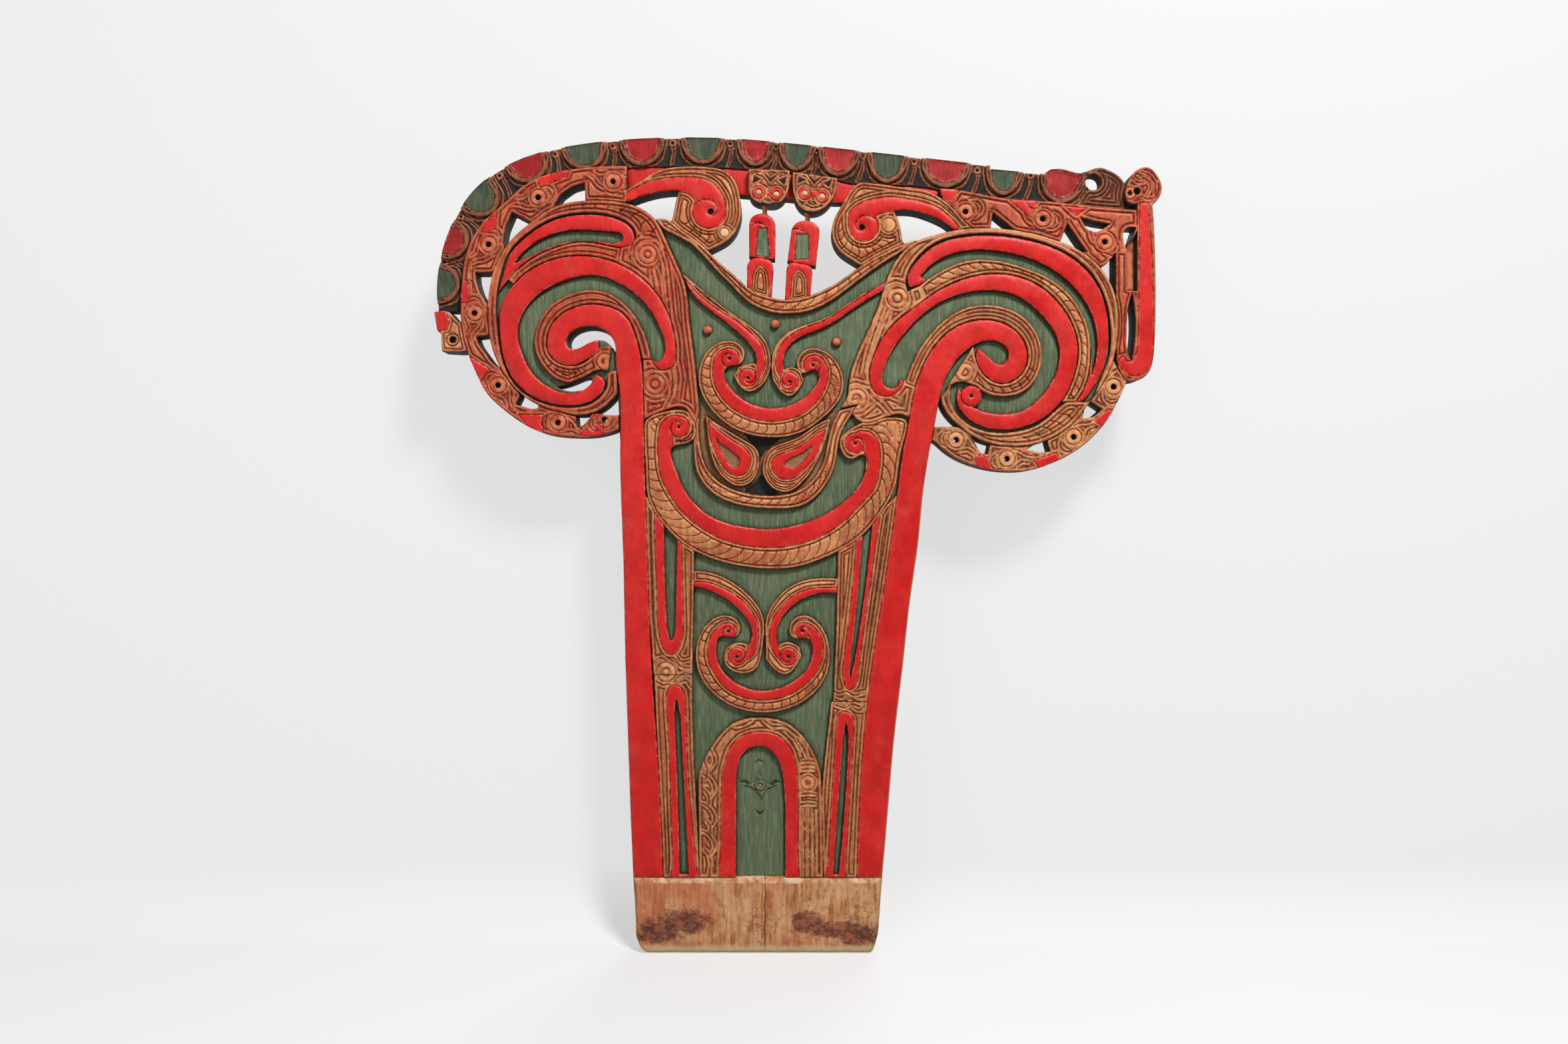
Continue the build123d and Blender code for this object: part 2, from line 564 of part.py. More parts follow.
# Openwork rims: chains of bird heads round the volutes, pierced by eyes and gaps
rim_left_edge = [
    (-130, 519), (-143.5, 513), (-165, 509), (-179, 509), (-208.5, 512.6), (-232.5, 524),
    (-249.4, 536.6), (-265, 552), (-276, 573), (-284.7, 594.5), (-289.5, 615), (-290, 650),
    (-281, 700), (-266, 722), (-250, 736), (-226, 757), (-200, 767), (-170, 772.5), (-150, 774),
]
left_rim_face = outline(
    rim_left_edge,
    [(-128, 774), (-128, 738)],
    [(-142, 730), (-200, 720)],
    [(-200, 720), (-250, 670), (-255, 610), (-230, 562), (-190, 537), (-155, 532)],
    [(-145, 530), (-130, 531)],
)
left_gaps = [
    polygon((-276, 670), (-250, 670), (-250, 640), (-265, 640), (-272, 651), (-275.5, 662)),
    polygon((-275.5, 607), (-255, 610), (-245, 580), (-254, 577), (-260.7, 583), (-273, 600)),
    polygon((-236.7, 541), (-230, 555), (-212, 548), (-215.5, 537), (-222, 536.6)),
    polygon((-178.8, 540), (-163, 540), (-163, 529), (-170, 521), (-176.7, 518)),
    polygon((-240.5, 729), (-222, 719.4), (-237.4, 700), (-248, 693.4), (-249, 702), (-247, 714)),
    polygon((-199, 736), (-193, 746), (-182, 754), (-169.3, 757.6), (-168.6, 738), (-190, 730)),
]
left_eyes = [
    (-149.5, 526), (-195, 523), (-253.5, 559.5), (-276.5, 630), (-262.8, 697), (-214.5, 743), (-141, 758.5),
]
right_eyes_high = [(203, 729), (278.5, 722), (339, 699.5)]
right_eyes_low = [(347.5, 558), (308.5, 509), (243.5, 487.6), (193.7, 506)]


def pierced(face, gaps, eyes):
    """An openwork rim: a slab clear of the boards, with gaps and round eyes cut through."""
    solid = cut(slab(face, rim_depth, rim_back), *board_cutters)
    return cut(solid, *[tall(g) for g in gaps], *[tall(disc(e, eye_radius)) for e in eyes])


left_rim = pierced(left_rim_face, left_gaps, left_eyes)
high_rim_face = outline(
    [(196, 705), (206, 709), (209, 714)],
    [(209, 714), (200, 722), (193.5, 730), (181, 741)],
    [(178, 752), (200, 750), (244, 742), (275, 740), (300, 738), (320.6, 735), (347.6, 732.5), (371, 731)],
    [(371, 714), (361, 714), (361, 690)],
    [(350, 690), (335, 670)],
    [(335, 670), (300, 690), (250, 704), (215, 701)],
)
high_gaps = [
    polygon((230, 729), (255.5, 708), (227, 708)),
    polygon((303, 718), (322, 690), (309, 690), (295, 698)),
    polygon((315.5, 724), (332, 719.5), (345, 717.5), (338, 713), (332, 709), (322, 712)),
    polygon((335, 675), (352, 684), (351, 665), (340, 660)),
]
low_rim_face = outline(
    [(160, 506), (170, 506), (182, 496.5), (203, 484), (229.4, 476.6), (247, 475), (269, 477),
     (284, 482), (300, 489), (323.5, 505), (342.6, 527), (353.5, 547), (361, 564)],
    [(353, 574), (345, 590)],
    [(340, 590), (322, 546), (300, 522), (254, 503), (205, 517), (190, 519)],
    [(176, 519), (160, 519)],
)
low_gaps = [
    polygon((317.6, 527), (322, 546), (337, 536), (329, 529)),
    polygon((263, 496.5), (282, 510), (286, 495), (276.5, 494)),
    polygon((208, 512), (228, 505), (225, 492), (217.6, 493.5)),
]
high_rim = pierced(high_rim_face, high_gaps, right_eyes_high)
low_rim = pierced(low_rim_face, low_gaps, right_eyes_low)
write("left_rim", left_rim)

# Rail behind the scrolls and heads
rail_face = outline(
    [(-128, 774), (-29, 774), (0, 772), (34, 769), (78, 762), (98, 758), (130, 757), (178, 752)],
    [(178, 746), (150, 742), (120, 741), (87, 740)],
    [(76, 740), (-19, 748)],
    [(-40, 752), (-128, 752)],
)
rail = cut(slab(rail_face, rail_depth, rim_back), left_rim, high_rim)
write("top_rail", rail)

# Inner scrolls, hanging from the rail either side of the figures
left_scroll_face = outline(
    [(-128, 738.5), (-128, 750)],
    [(-128, 750), (-110, 762), (-95, 770), (-80, 773), (-50, 773), (-30, 768), (-21, 757), (-17, 742),
     (-16, 728), (-19, 715), (-27, 703), (-38, 696), (-50, 690)],
    [(-64, 697), (-90, 714)],
    [(-83, 722), (-81, 735), (-77, 750)],
    [(-77, 750), (-90, 749.5), (-106, 746.5), (-128, 738.5)],
)
right_scroll_face = outline(
    [(103, 758), (94, 754), (86, 742.5), (79.5, 731), (74, 720.5), (72.4, 711.5), (73.7, 701),
     (79.5, 691), (90, 683), (101.5, 676)],
    [(110, 672), (150, 694)],
    [(141, 700), (138.7, 717), (133, 730)],
    [(133, 730), (146, 731), (171, 724.6), (191, 712), (196, 704)],
    [(209, 707), (209, 714)],
    [(209, 714), (200, 722), (193.5, 730), (181, 741), (166.5, 749), (149, 752), (130, 754.7), (103, 758)],
)
front_pieces = [*board_cutters, left_rim, high_rim, rail]
left_scroll = cut(slab(left_scroll_face, scroll_depth, rim_back), *front_pieces)
left_scroll = left_scroll - tall(disc((-46, 729.6), scroll_eye_radius))
right_scroll = cut(slab(right_scroll_face, scroll_depth, rim_back), *front_pieces)
right_scroll = right_scroll - tall(disc((102, 714), scroll_eye_radius))
write("left_inner_scroll", left_scroll)
write("right_inner_scroll", right_scroll)

# Figures: a mask, a body and a pair of legs each
mask_left = outline(
    [(-9, 771), (31, 769.5)],
    [(31, 769.5), (31.6, 760.6), (29.7, 750), (25, 741), (18.7, 737), (9.6, 736.7), (0.6, 738),
     (-6, 742), (-9, 757), (-9, 771)],
)
mask_right = outline(
    [(34, 768), (78, 762)],
    [(78, 762), (77, 753), (73.7, 742.5), (68, 735), (56, 729), (47, 730), (39.4, 736), (34, 753),
     (34, 768)],
)
figures = {
    "left": (
        mask_left,
        [(1.2, 750), (18.7, 746)],
        polygon((4.3, 740), (9.3, 740), (9.3, 724), (4.3, 724)),
        outline([(-8.5, 686), (-8.5, 718)], [(-8.5, 718), (-3, 727), (10, 727), (17.5, 718)],
                [(17.5, 718), (17, 683)]),
        outline([(-10.8, 640), (-10.5, 672)], [(-10.5, 672), (-5, 684.5), (9, 684.5), (15, 670)],
                [(15, 670), (13, 640)]),
    ),
    "right": (
        mask_right,
        [(46.5, 746.4), (63.4, 742.5)],
        polygon((46, 732), (52, 732), (52, 719), (46, 719)),
        outline([(29, 681.7), (33, 712)], [(33, 712), (38, 719.5), (54, 720), (60.8, 712)],
                [(60.8, 712), (57, 676.5)]),
        outline([(26, 636), (28, 670)], [(28, 670), (33, 681), (48, 680), (53.5, 668)],
                [(53.5, 668), (50.6, 636)]),
    ),
}
for side, (mask, eyes, neck, body, legs) in figures.items():
    head = cut(slab(mask, scroll_depth, rim_back), rail, left_scroll, right_scroll)
    if side == "right":
        head = cut(head, tall(mask_left))
    for eye in eyes:
        head = head + raised(disc(eye, face_eye_radius), scroll_depth, face_eye_height)
    trunk = slab(body, figure_depth, figure_back)
    lower = cut(slab(legs, figure_depth, figure_back), *board_cutters, trunk)
    trunk = trunk + cut(slab(neck, figure_depth / 2, figure_back / 2), tall(mask))
    write(f"{side}_figure_head", head)
    write(f"{side}_figure_body", trunk)
    write(f"{side}_figure_legs", lower)

# Finials at both ends of the frieze
left_finial_face = outline(
    [(-307, 632.5), (-316, 631)], [(-316, 631), (-314.5, 622), (-313, 613)],
    [(-309.4, 610), (-308.7, 593)], [(-292, 592), (-280, 594)], [(-280, 618), (-291, 620)],
    [(-297, 626), (-301, 631)],
)
left_finial = slab(left_finial_face, scroll_depth, rim_back)
left_finial = cut(left_finial, tall(left_rim_face), tall(disc((-298, 604), finial_eye_radius)))
right_finial_face = outline(
    [(371, 737), (362, 738.5), (358.7, 746), (360, 753), (362, 758), (368, 768), (381, 773),
     (390.5, 765), (395, 750), (391, 741), (386, 736)],
    [(386, 736), (388, 702), (389, 643), (387.4, 593), (380, 569.4), (371, 564), (361, 564)],
    [(361, 564), (353.5, 574), (350.6, 587)],
    [(350.6, 587), (350, 640), (350, 690)],
    [(361, 690), (366, 702), (370, 714)],
    [(371, 714), (371, 737)],
)
finial_slot = outline(
    [(366, 650), (362, 635.6), (361, 613.5), (361.6, 591.5), (365.5, 583)],
    [(365.5, 583), (368, 599), (369, 628), (366, 650)],
)
finial_web = polygon((361, 652), (371, 652), (371, 712), (366, 702), (361, 690))
right_finial = slab(right_finial_face, scroll_depth, rim_back)
right_finial = cut(right_finial, tall(right_volute_face), tall(finial_slot), high_rim, low_rim)
right_finial = right_finial - slab(finial_web, beyond, -rail_depth)
right_finial = right_finial - tall(disc((370.5, 749), finial_eye_radius))
write("left_finial", left_finial)
write("right_finial", right_finial)
write("right_upper_rim", high_rim)
write("right_lower_rim", low_rim)

# Frieze along the top, and its row of hanging scallops
frieze_top = [
    (-313.6, 632.6), (-314.6, 655), (-311.5, 683), (-304.5, 707), (-292.5, 732.4), (-278.7, 751),
    (-258.8, 768), (-225, 784.7), (-182, 795), (-130, 801), (-81, 803), (-21.4, 802),
]
frieze_face = outline(
    frieze_top,
    [(-21.4, 802), (68, 793.6), (150, 784.4), (228, 775.7)],
    [(228, 772), (281, 767.4)],
    [(281, 767.4), (306, 771.7), (317, 769), (335, 774.6), (347.6, 771), (359, 762), (359.5, 748)],
    [(362, 728), (300, 730), (178, 740), (-128, 760)],
    [(-170, 765), (-262, 722)],
    [(-280, 690), (-286, 650), (-286, 633)],
)
frieze_hole = (330, 760)
frieze_hole_radius = 8.0
in_front = [
    left_rim_face, high_rim_face, rail_face, left_scroll_face, right_scroll_face, mask_left, mask_right,
]
frieze = slab(frieze_face, frieze_depth, rim_back)
frieze = cut(frieze, *[tall(f) for f in in_front], tall(right_finial_face), tall(left_finial_face))
frieze = frieze - tall(disc(frieze_hole, frieze_hole_radius))
write("scallop_frieze", frieze)

# Scallops: middle of each top edge, half width, depth and lean in degrees
scallops = [
    (-314, 660, 19, 22, 88), (-305, 704, 19, 22, 70), (-278, 750, 20, 28, 45), (-228, 783, 21, 25, 20),
    (-171, 796, 21, 25, 8), (-114, 801, 21, 26, 3), (-54, 802.5, 20, 26, -1), (-2, 800.5, 17, 26, -3),
    (39, 797, 17, 27, -5), (80, 792.5, 19, 28, -6), (128, 787, 19, 29, -6), (185, 780.5, 23, 27, -7),
    (242, 772, 17, 26, -5), (300, 766, 21, 28, -12),
]
cheek, waist = 0.9, 0.55  # a scallop is this much of its half width across, at this much of its depth
hung = []
for x, z, half, depth, lean in scallops:
    bowl = outline([
        (-half, scallop_lip), (-half * cheek, -depth * waist), (0, -depth), (half * cheek, -depth * waist),
        (half, scallop_lip),
    ])
    shift = Vector(0, drawn_foot * up)
    placed = Pos(*at((x, z))) * Rot(0, 0, lean) * Pos(shift.X, shift.Y) * bowl
    plate = raised(placed, frieze_depth, scallop_height)
    trim = [f for f in in_front if f.bounding_box().max.X > at((x - half, z))[0] - depth]
    hung.append(cut(plate & tall(frieze_face), *[tall(f) for f in trim]))
hung = [s for solid in hung for s in solid.solids()]
write("frieze_scallops", Compound(children=hung))
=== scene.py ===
import math

import bpy
import numpy as np
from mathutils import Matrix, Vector, kdtree
from mathutils.geometry import delaunay_2d_cdt


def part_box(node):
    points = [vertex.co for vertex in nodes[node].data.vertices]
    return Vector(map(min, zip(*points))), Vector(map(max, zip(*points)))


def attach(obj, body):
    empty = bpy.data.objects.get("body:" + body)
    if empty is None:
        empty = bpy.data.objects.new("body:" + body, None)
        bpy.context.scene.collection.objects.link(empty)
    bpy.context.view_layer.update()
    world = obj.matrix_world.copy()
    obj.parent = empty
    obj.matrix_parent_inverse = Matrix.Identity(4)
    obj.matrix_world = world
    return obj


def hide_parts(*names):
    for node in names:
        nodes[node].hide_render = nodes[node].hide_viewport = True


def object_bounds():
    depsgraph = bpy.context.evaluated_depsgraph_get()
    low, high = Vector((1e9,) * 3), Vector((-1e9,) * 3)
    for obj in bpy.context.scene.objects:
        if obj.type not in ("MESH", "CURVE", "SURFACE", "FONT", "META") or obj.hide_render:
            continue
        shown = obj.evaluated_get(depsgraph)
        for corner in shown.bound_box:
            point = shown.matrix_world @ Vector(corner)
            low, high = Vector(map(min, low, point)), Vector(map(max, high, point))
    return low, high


# A carved and painted canoe splashboard: one slab, front towards -Y, foot on z = 0.
# The carving follows the edges of each member, which no operator does, so each member is a relief
# skin over the outline of its own solid. The necks, the floor and the wall are modelled by operators.

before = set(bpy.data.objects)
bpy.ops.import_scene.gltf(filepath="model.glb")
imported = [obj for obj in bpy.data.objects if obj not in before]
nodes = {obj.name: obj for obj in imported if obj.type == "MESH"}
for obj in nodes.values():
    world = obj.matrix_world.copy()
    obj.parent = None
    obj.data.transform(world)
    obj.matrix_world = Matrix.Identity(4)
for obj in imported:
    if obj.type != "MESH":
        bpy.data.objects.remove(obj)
cad_low, cad_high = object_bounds()
bpy.ops.object.select_all(action="DESELECT")

mm = 0.001
# The rest of this block is in millimetres
step = 1.4  # spacing of points along an edge
apart = 0.55  # least spacing of points inside a skin
drawn_foot = 4.0  # height of the foot's lower edge in the drawing
board_front, relief_front, web_front = -15.0, -16.0, -5.0  # depths of the solids' flat fronts
relief_back = -9.4
least_skin, box_margin = 1.0, 0.02
shade_rows = (0, 1.2, 3.0)  # over which a ground sinks and darkens beside the relief that stands on it; the darkening is painted shade
leaf_cut, leaf_half = 1.2, 0.75  # depth and half width of the cuts between leaves
eye_hole = 1.5
flat_within = 0.02  # how far a vertex of a flat front may be off its depth
sharp_from = 58  # degrees between two faces


# Lines of the drawing, in millimetres

def drawn(points):
    return np.array([(x, z - drawn_foot) for x, z in points], float)


def curve(*runs):
    """A closed line of smooth runs with a corner between each two. A single run closes smoothly."""
    out = []
    for run in runs:
        p = drawn(run)
        n = len(p)
        if len(runs) == 1:
            spans = [[p[(i + k) % n] for k in (-1, 0, 1, 2)] for i in range(n)]
        else:
            spans = [[p[min(max(i + k, 0), n - 1)] for k in (-1, 0, 1, 2)] for i in range(n - 1)]
        for a, b, c, d in spans:
            count = max(1, round(float(np.linalg.norm(c - b)) / step))
            for t in np.arange(count) / count:
                out.append(0.5 * (2 * b + (c - a) * t + (2 * a - 5 * b + 4 * c - d) * t * t
                                  + (3 * b - a - 3 * c + d) * t ** 3))
    return np.array(out)


def straight(points):
    p = drawn(points)
    out = []
    for a, b in zip(p, np.roll(p, -1, axis=0)):
        count = max(1, round(float(np.linalg.norm(b - a)) / step))
        out += [a + (b - a) * t for t in np.arange(count) / count]
    return np.array(out)


def circle(x, z, radius):
    count = max(10, round(2 * math.pi * radius / step))
    turn = np.arange(count) * 2 * math.pi / count
    return np.stack([x + radius * np.cos(turn), z - drawn_foot + radius * np.sin(turn)], axis=1)


def placed(points, x, z, lean):
    """Local points turned by lean degrees and put at a point of the drawing."""
    c, s = math.cos(math.radians(lean)), math.sin(math.radians(lean))
    return [(x + u * c - v * s, z + u * s + v * c) for u, v in points]


def front_lines(node, depth, corner=35):
    """The closed outlines of a node's flat front, evenly spaced."""
    solid = nodes[node]
    mesh = solid.data
    mesh.calc_loop_triangles()
    spots = np.array([tuple(solid.matrix_world @ v.co) for v in mesh.vertices]) / mm
    tris = np.array([t.vertices[:] for t in mesh.loop_triangles])
    flat = np.all(np.abs(spots[tris][:, :, 1] - depth) < flat_within, axis=1)
    keys = [(round(float(p[0]), 3), round(float(p[2]), 3)) for p in spots]
    edges = set()
    for t in tris[flat]:
        a, b, c = (keys[i] for i in t)
        edges |= {e for e in ((a, b), (b, c), (c, a)) if e[0] != e[1]}
    ahead = {}
    for a, b in edges:
        if (b, a) not in edges:
            ahead.setdefault(a, []).append(b)
    loops = []
    while ahead:
        start = next(iter(ahead))
        line, here = [start], start
        while here in ahead:
            there = ahead[here].pop()
            if not ahead[here]:
                del ahead[here]
            if there == start:
                break
            line.append(there)
            here = there
        if len(line) > 2:
            loops.append(even(np.array(line), corner))
    return loops


def even(line, corner):
    """Evenly spaced points on a closed line, eased between the corners sharper than so many degrees."""
    keep, least = [line[0]], 0.08
    for p in line[1:]:
        if np.linalg.norm(p - keep[-1]) > least:
            keep.append(p)
    p = np.array(keep)
    back, on = p - np.roll(p, 1, axis=0), np.roll(p, -1, axis=0) - p
    turn = np.abs(np.arctan2(back[:, 0] * on[:, 1] - back[:, 1] * on[:, 0], (back * on).sum(axis=1)))
    corners = list(np.nonzero(turn > math.radians(corner))[0]) or [0]
    out = []
    for a, b in zip(corners, corners[1:] + [corners[0] + len(p)]):
        run = np.array([p[k % len(p)] for k in range(a, b + 1)])
        along = np.concatenate([[0], np.cumsum(np.linalg.norm(np.diff(run, axis=0), axis=1))])
        count = max(1, round(along[-1] / step))
        at = np.linspace(0, along[-1], count + 1)
        spots = np.stack([np.interp(at, along, run[:, 0]), np.interp(at, along, run[:, 1])], axis=1)
        for _ in range(4 if count > 20 else 1):
            spots[1:-1] = 0.25 * spots[:-2] + 0.5 * spots[1:-1] + 0.25 * spots[2:]
        out.append(spots[:-1])
    return np.vstack(out)


def within(points, line):
    """Which points lie inside a closed line."""
    hit = np.zeros(len(points), bool)
    lo, hi = line.min(axis=0), line.max(axis=0)
    near = np.nonzero(np.all((points >= lo) & (points <= hi), axis=1))[0]
    x, z = points[near, 0], points[near, 1]
    odd = np.zeros(len(near), bool)
    for (ax, az), (bx, bz) in zip(line, np.roll(line, -1, axis=0)):
        if az != bz:
            odd ^= ((az > z) != (bz > z)) & (x < (bx - ax) * (z - az) / (bz - az) + ax)
    hit[near] = odd
    return hit


class Edges:
    """Distance from any point to the nearest of several closed lines."""

    def __init__(self, lines):
        self.spots = np.vstack(lines)
        self.ahead, self.behind, base = [], [], 0
        for line in lines:
            k = np.arange(len(line))
            self.ahead += list(base + (k + 1) % len(line))
            self.behind += list(base + (k - 1) % len(line))
            base += len(line)
        self.ahead, self.behind = np.array(self.ahead), np.array(self.behind)
        self.tree = kdtree.KDTree(len(self.spots))
        for i, (x, z) in enumerate(self.spots):
            self.tree.insert((x, z, 0), i)
        self.tree.balance()
        way = self.spots[self.ahead] - self.spots[self.behind]
        size = np.maximum(np.linalg.norm(way, axis=1, keepdims=True), 1e-9)
        self.normals = np.stack([-way[:, 1], way[:, 0]], axis=1) / size

    def distance(self, points):
        near = np.array([self.tree.find((x, z, 0))[1] for x, z in points], int)
        best = np.full(len(points), 1e9)
        for other in (self.ahead, self.behind):
            a, b = self.spots[near], self.spots[other[near]]
            run = b - a
            t = np.clip(((points - a) * run).sum(axis=1) / np.maximum((run * run).sum(axis=1), 1e-9), 0, 1)
            best = np.minimum(best, np.linalg.norm(points - a - run * t[:, None], axis=1))
        return best


# Cross sections of the carving, in rows: distance from the edge, height, how much it is a cut; the materials
# darken cuts as residue and painted shade, and paint a highlight where this is near zero

def strands(pitch, count, depth=1.7, edge=1.6):
    """Parallel rounded strands with V cuts between them."""
    side = min(1.2, pitch * 0.36)
    rows = [(0, -edge, 0.95), (0.4, -edge * 0.5, 0.4), (side, -0.3, 0.12), (pitch / 2, 0, 0)]
    for k in range(1, count + 1):
        rows += [(k * pitch - side, -0.4, 0.12), (k * pitch, -depth, 1), (k * pitch + side, -0.4, 0.12),
                 ((k + 0.5) * pitch, 0, 0)]
    rows.append(((count + 0.5) * pitch + 1.5, 0, 0.1))
    return sorted(rows)


rib = [(0, -2.3, 0.95), (0.35, -1.3, 0.45), (0.9, -0.8, 0), (2, -0.45, 0), (3.5, -0.2, 0), (6, -0.05, 0),
       (9, 0, 0)]
thin_rib = [(0, -1.8, 0.95), (0.35, -0.9, 0.4), (0.9, -0.4, 0), (2, -0.12, 0), (4.5, 0, 0)]
flat_face = [(0, -0.8, 0.8), (0.5, -0.3, 0.2), (1.2, -0.05, 0), (3, 0, 0)]
rounded = [(0, -2.2, 0), (0.8, -1.2, 0), (2, -0.5, 0), (4, -0.1, 0), (9, 0, 0)]
knob = [(0, -3, 0.8), (0.7, -1.8, 0), (1.6, -0.9, 0), (3, -0.2, 0)]
ring = [(0, -1.2, 1), (0.6, -0.3, 0.1), (1.5, 0.1, 0), (2.7, 0.1, 0), (4, 0.2, 0)]
boss = [(0, -1.2, 1), (0.6, -0.35, 0.1), (2.8, 0.1, 0), (4.8, -0.25, 0.1), (5.6, -1.4, 1), (6.3, -0.4, 0.1),
        (8, 0.35, 0), (11, 0.5, 0)]
eye = [(0, -1.2, 1), (0.6, -0.35, 0.1), (1.4, -0.05, 0), (2.8, 0, 0)]
disc_face = [(0, -1.4, 1), (0.4, -0.8, 0.7), (0.9, -0.4, 0), (2.5, -0.1, 0), (6, 0.1, 0)]
sunk = [(0, -1.6, 1), (0.7, -2.4, 0.5), (2, -2.6, 0.2), (4, -2.6, 0.1)]
pit = [(0, -1.2, 1), (0.6, -2.6, 1), (1.6, -3.0, 1)]
scratch = [(0, -0.9, 0.9), (0.4, -1.3, 1)]
deep = [(0, -1.2, 0.6), (1, -1.8, 0), (4, -2.2, 0)]


class Inset:
    """A patch of a member with its own colour and section."""

    def __init__(self, line, look, section, base=0.0):
        self.line, self.look, self.section, self.base = line, look, section, base


def dot(x, z, radius, look, section, base=0.0):
    return Inset(circle(x, z, radius), look, section, base)


def leftward(line):
    """The line run anticlockwise."""
    x, z = line[:, 0], line[:, 1]
    area = (x * np.roll(z, -1) - np.roll(x, -1) * z).sum()
    return line if area > 0 else line[::-1]


def open_run(line, other):
    """The longest stretch of a closed line outside another."""
    free = ~within(line, other)
    if free.all() or not free.any():
        return None
    first = next(i for i in range(len(line)) if free[i] and not free[i - 1])
    best = run = []
    for p, out in zip(np.roll(line, -first, axis=0), np.roll(free, -first)):
        run = run + [p] if out else []
        best = run if len(run) > len(best) else best
    return np.array(best)


def hooked(line, *discs, look="red", section=None):
    """A strand that curls into discs (x, z, radius, way), with the cut that winds into each eye and a pit at
    each eye painted near-black as painted shade.
    """
    line, winds = leftward(line), []
    for x, z, radius, way in discs:
        disc = leftward(circle(x, z, radius))
        strand, rest = open_run(line, disc), open_run(disc, line)
        notch = np.array([x + radius, z - drawn_foot])
        if strand is not None and rest is not None:
            line, notch = np.vstack([strand, rest]), rest[0 if way < 0 else -1]
        wound, inmost, half_width = 4.0, 1.3, 0.34
        t = np.linspace(0, 1, 18)
        turn = math.atan2(notch[1] - z + drawn_foot, notch[0] - x) + way * wound * t
        r = inmost + (radius - 2.2) * (1 - t) ** 0.8
        wide = half_width * (1 - 0.5 * t)
        ray = np.stack([np.cos(turn), np.sin(turn)], axis=1)
        both = [ray * (r + k * wide)[:, None] + (x, z - drawn_foot) for k in (1, -1)]
        winds += [Inset(np.vstack([both[0], both[1][::-1]]), look, scratch),
                  dot(x, z, eye_hole, "dark", pit)]
    return [Inset(line, look, section or rib)] + winds


def stroke(*points, wide=0.42, look="ochre"):
    """A knife cut along a line, thin at both ends."""
    p = drawn(points)
    along = np.concatenate([[0], np.cumsum(np.linalg.norm(np.diff(p, axis=0), axis=1))])
    count = max(6, round(along[-1] / step))
    t = np.linspace(0, 1, count + 1)
    line = np.stack([np.interp(t * along[-1], along, p[:, k]) for k in (0, 1)], axis=1)
    for _ in range(3):
        line[1:-1] = 0.25 * line[:-2] + 0.5 * line[1:-1] + 0.25 * line[2:]
    way = np.gradient(line, axis=0)
    normal = np.stack([-way[:, 1], way[:, 0]], axis=1) / np.linalg.norm(way, axis=1, keepdims=True)
    half = normal * (wide * (0.25 + 0.75 * np.sin(np.pi * t) ** 0.6))[:, None]
    return Inset(np.vstack([line + half, (line - half)[::-1]]), look, scratch)


def strokes(look, *lines):
    return [stroke(*line, look=look) for line in lines]


class Cells:
    """Curved slanting cuts that part a band into leaves, counted round a centre, within a box if given."""

    def __init__(self, x, z, radius, pitch, slant=0.6, inner=2.8, box=None, curl=0.07):
        self.centre = np.array([x, z - drawn_foot])
        self.radius, self.pitch, self.slant, self.inner, self.box = radius, pitch, slant, inner, box
        self.curl = curl

    def shift(self, r):
        off = r - self.radius
        return self.slant * off + self.curl * off * off

    def phase(self, points):
        way = points - self.centre
        r = np.linalg.norm(way, axis=1)
        turn = np.arctan2(way[:, 1], way[:, 0])
        return (turn * self.radius + self.shift(r)) / self.pitch

    def allowed(self, points, d):
        """Which points, d from the nearest edge, the cuts may reach."""
        ok = d > self.inner
        if self.box:
            x0, z0, x1, z1 = self.box
            x, z = points[:, 0], points[:, 1] + drawn_foot
            ok &= (x > x0) & (x < x1) & (z > z0) & (z < z1)
        return ok

    def lines(self, low, high):
        """Points on the cuts and a little to both sides."""
        corners = np.array([(x, z) for x in (low[0], high[0]) for z in (low[1], high[1])]) - self.centre
        far = np.linalg.norm(corners, axis=1).max()
        r = np.arange(max(5.0, self.radius * 0.4), min(far, self.radius * 1.8), 1.1)
        count = int(math.pi * self.radius / self.pitch) + 1
        out = []
        for k in range(-count, count + 1):
            for off in (0, -leaf_half, leaf_half):
                turn = (k * self.pitch + off - self.shift(r)) / self.radius
                spots = np.stack([r * np.cos(turn), r * np.sin(turn)], axis=1)
                out.append((spots + self.centre)[np.abs(turn) <= math.pi + 0.05])
        return np.vstack(out)


def wobble(points, size, seed):
    """Slow unevenness of a hand-cut surface, from -1 to 1."""
    x, z = points[:, 0] / size, points[:, 1] / size
    return 0.5 * (np.sin(x * 6.1 + seed + 1.7 * np.sin(z * 4.3 + seed * 2))
                  + np.sin(z * 7.3 - seed + 1.3 * np.sin(x * 5.2)))


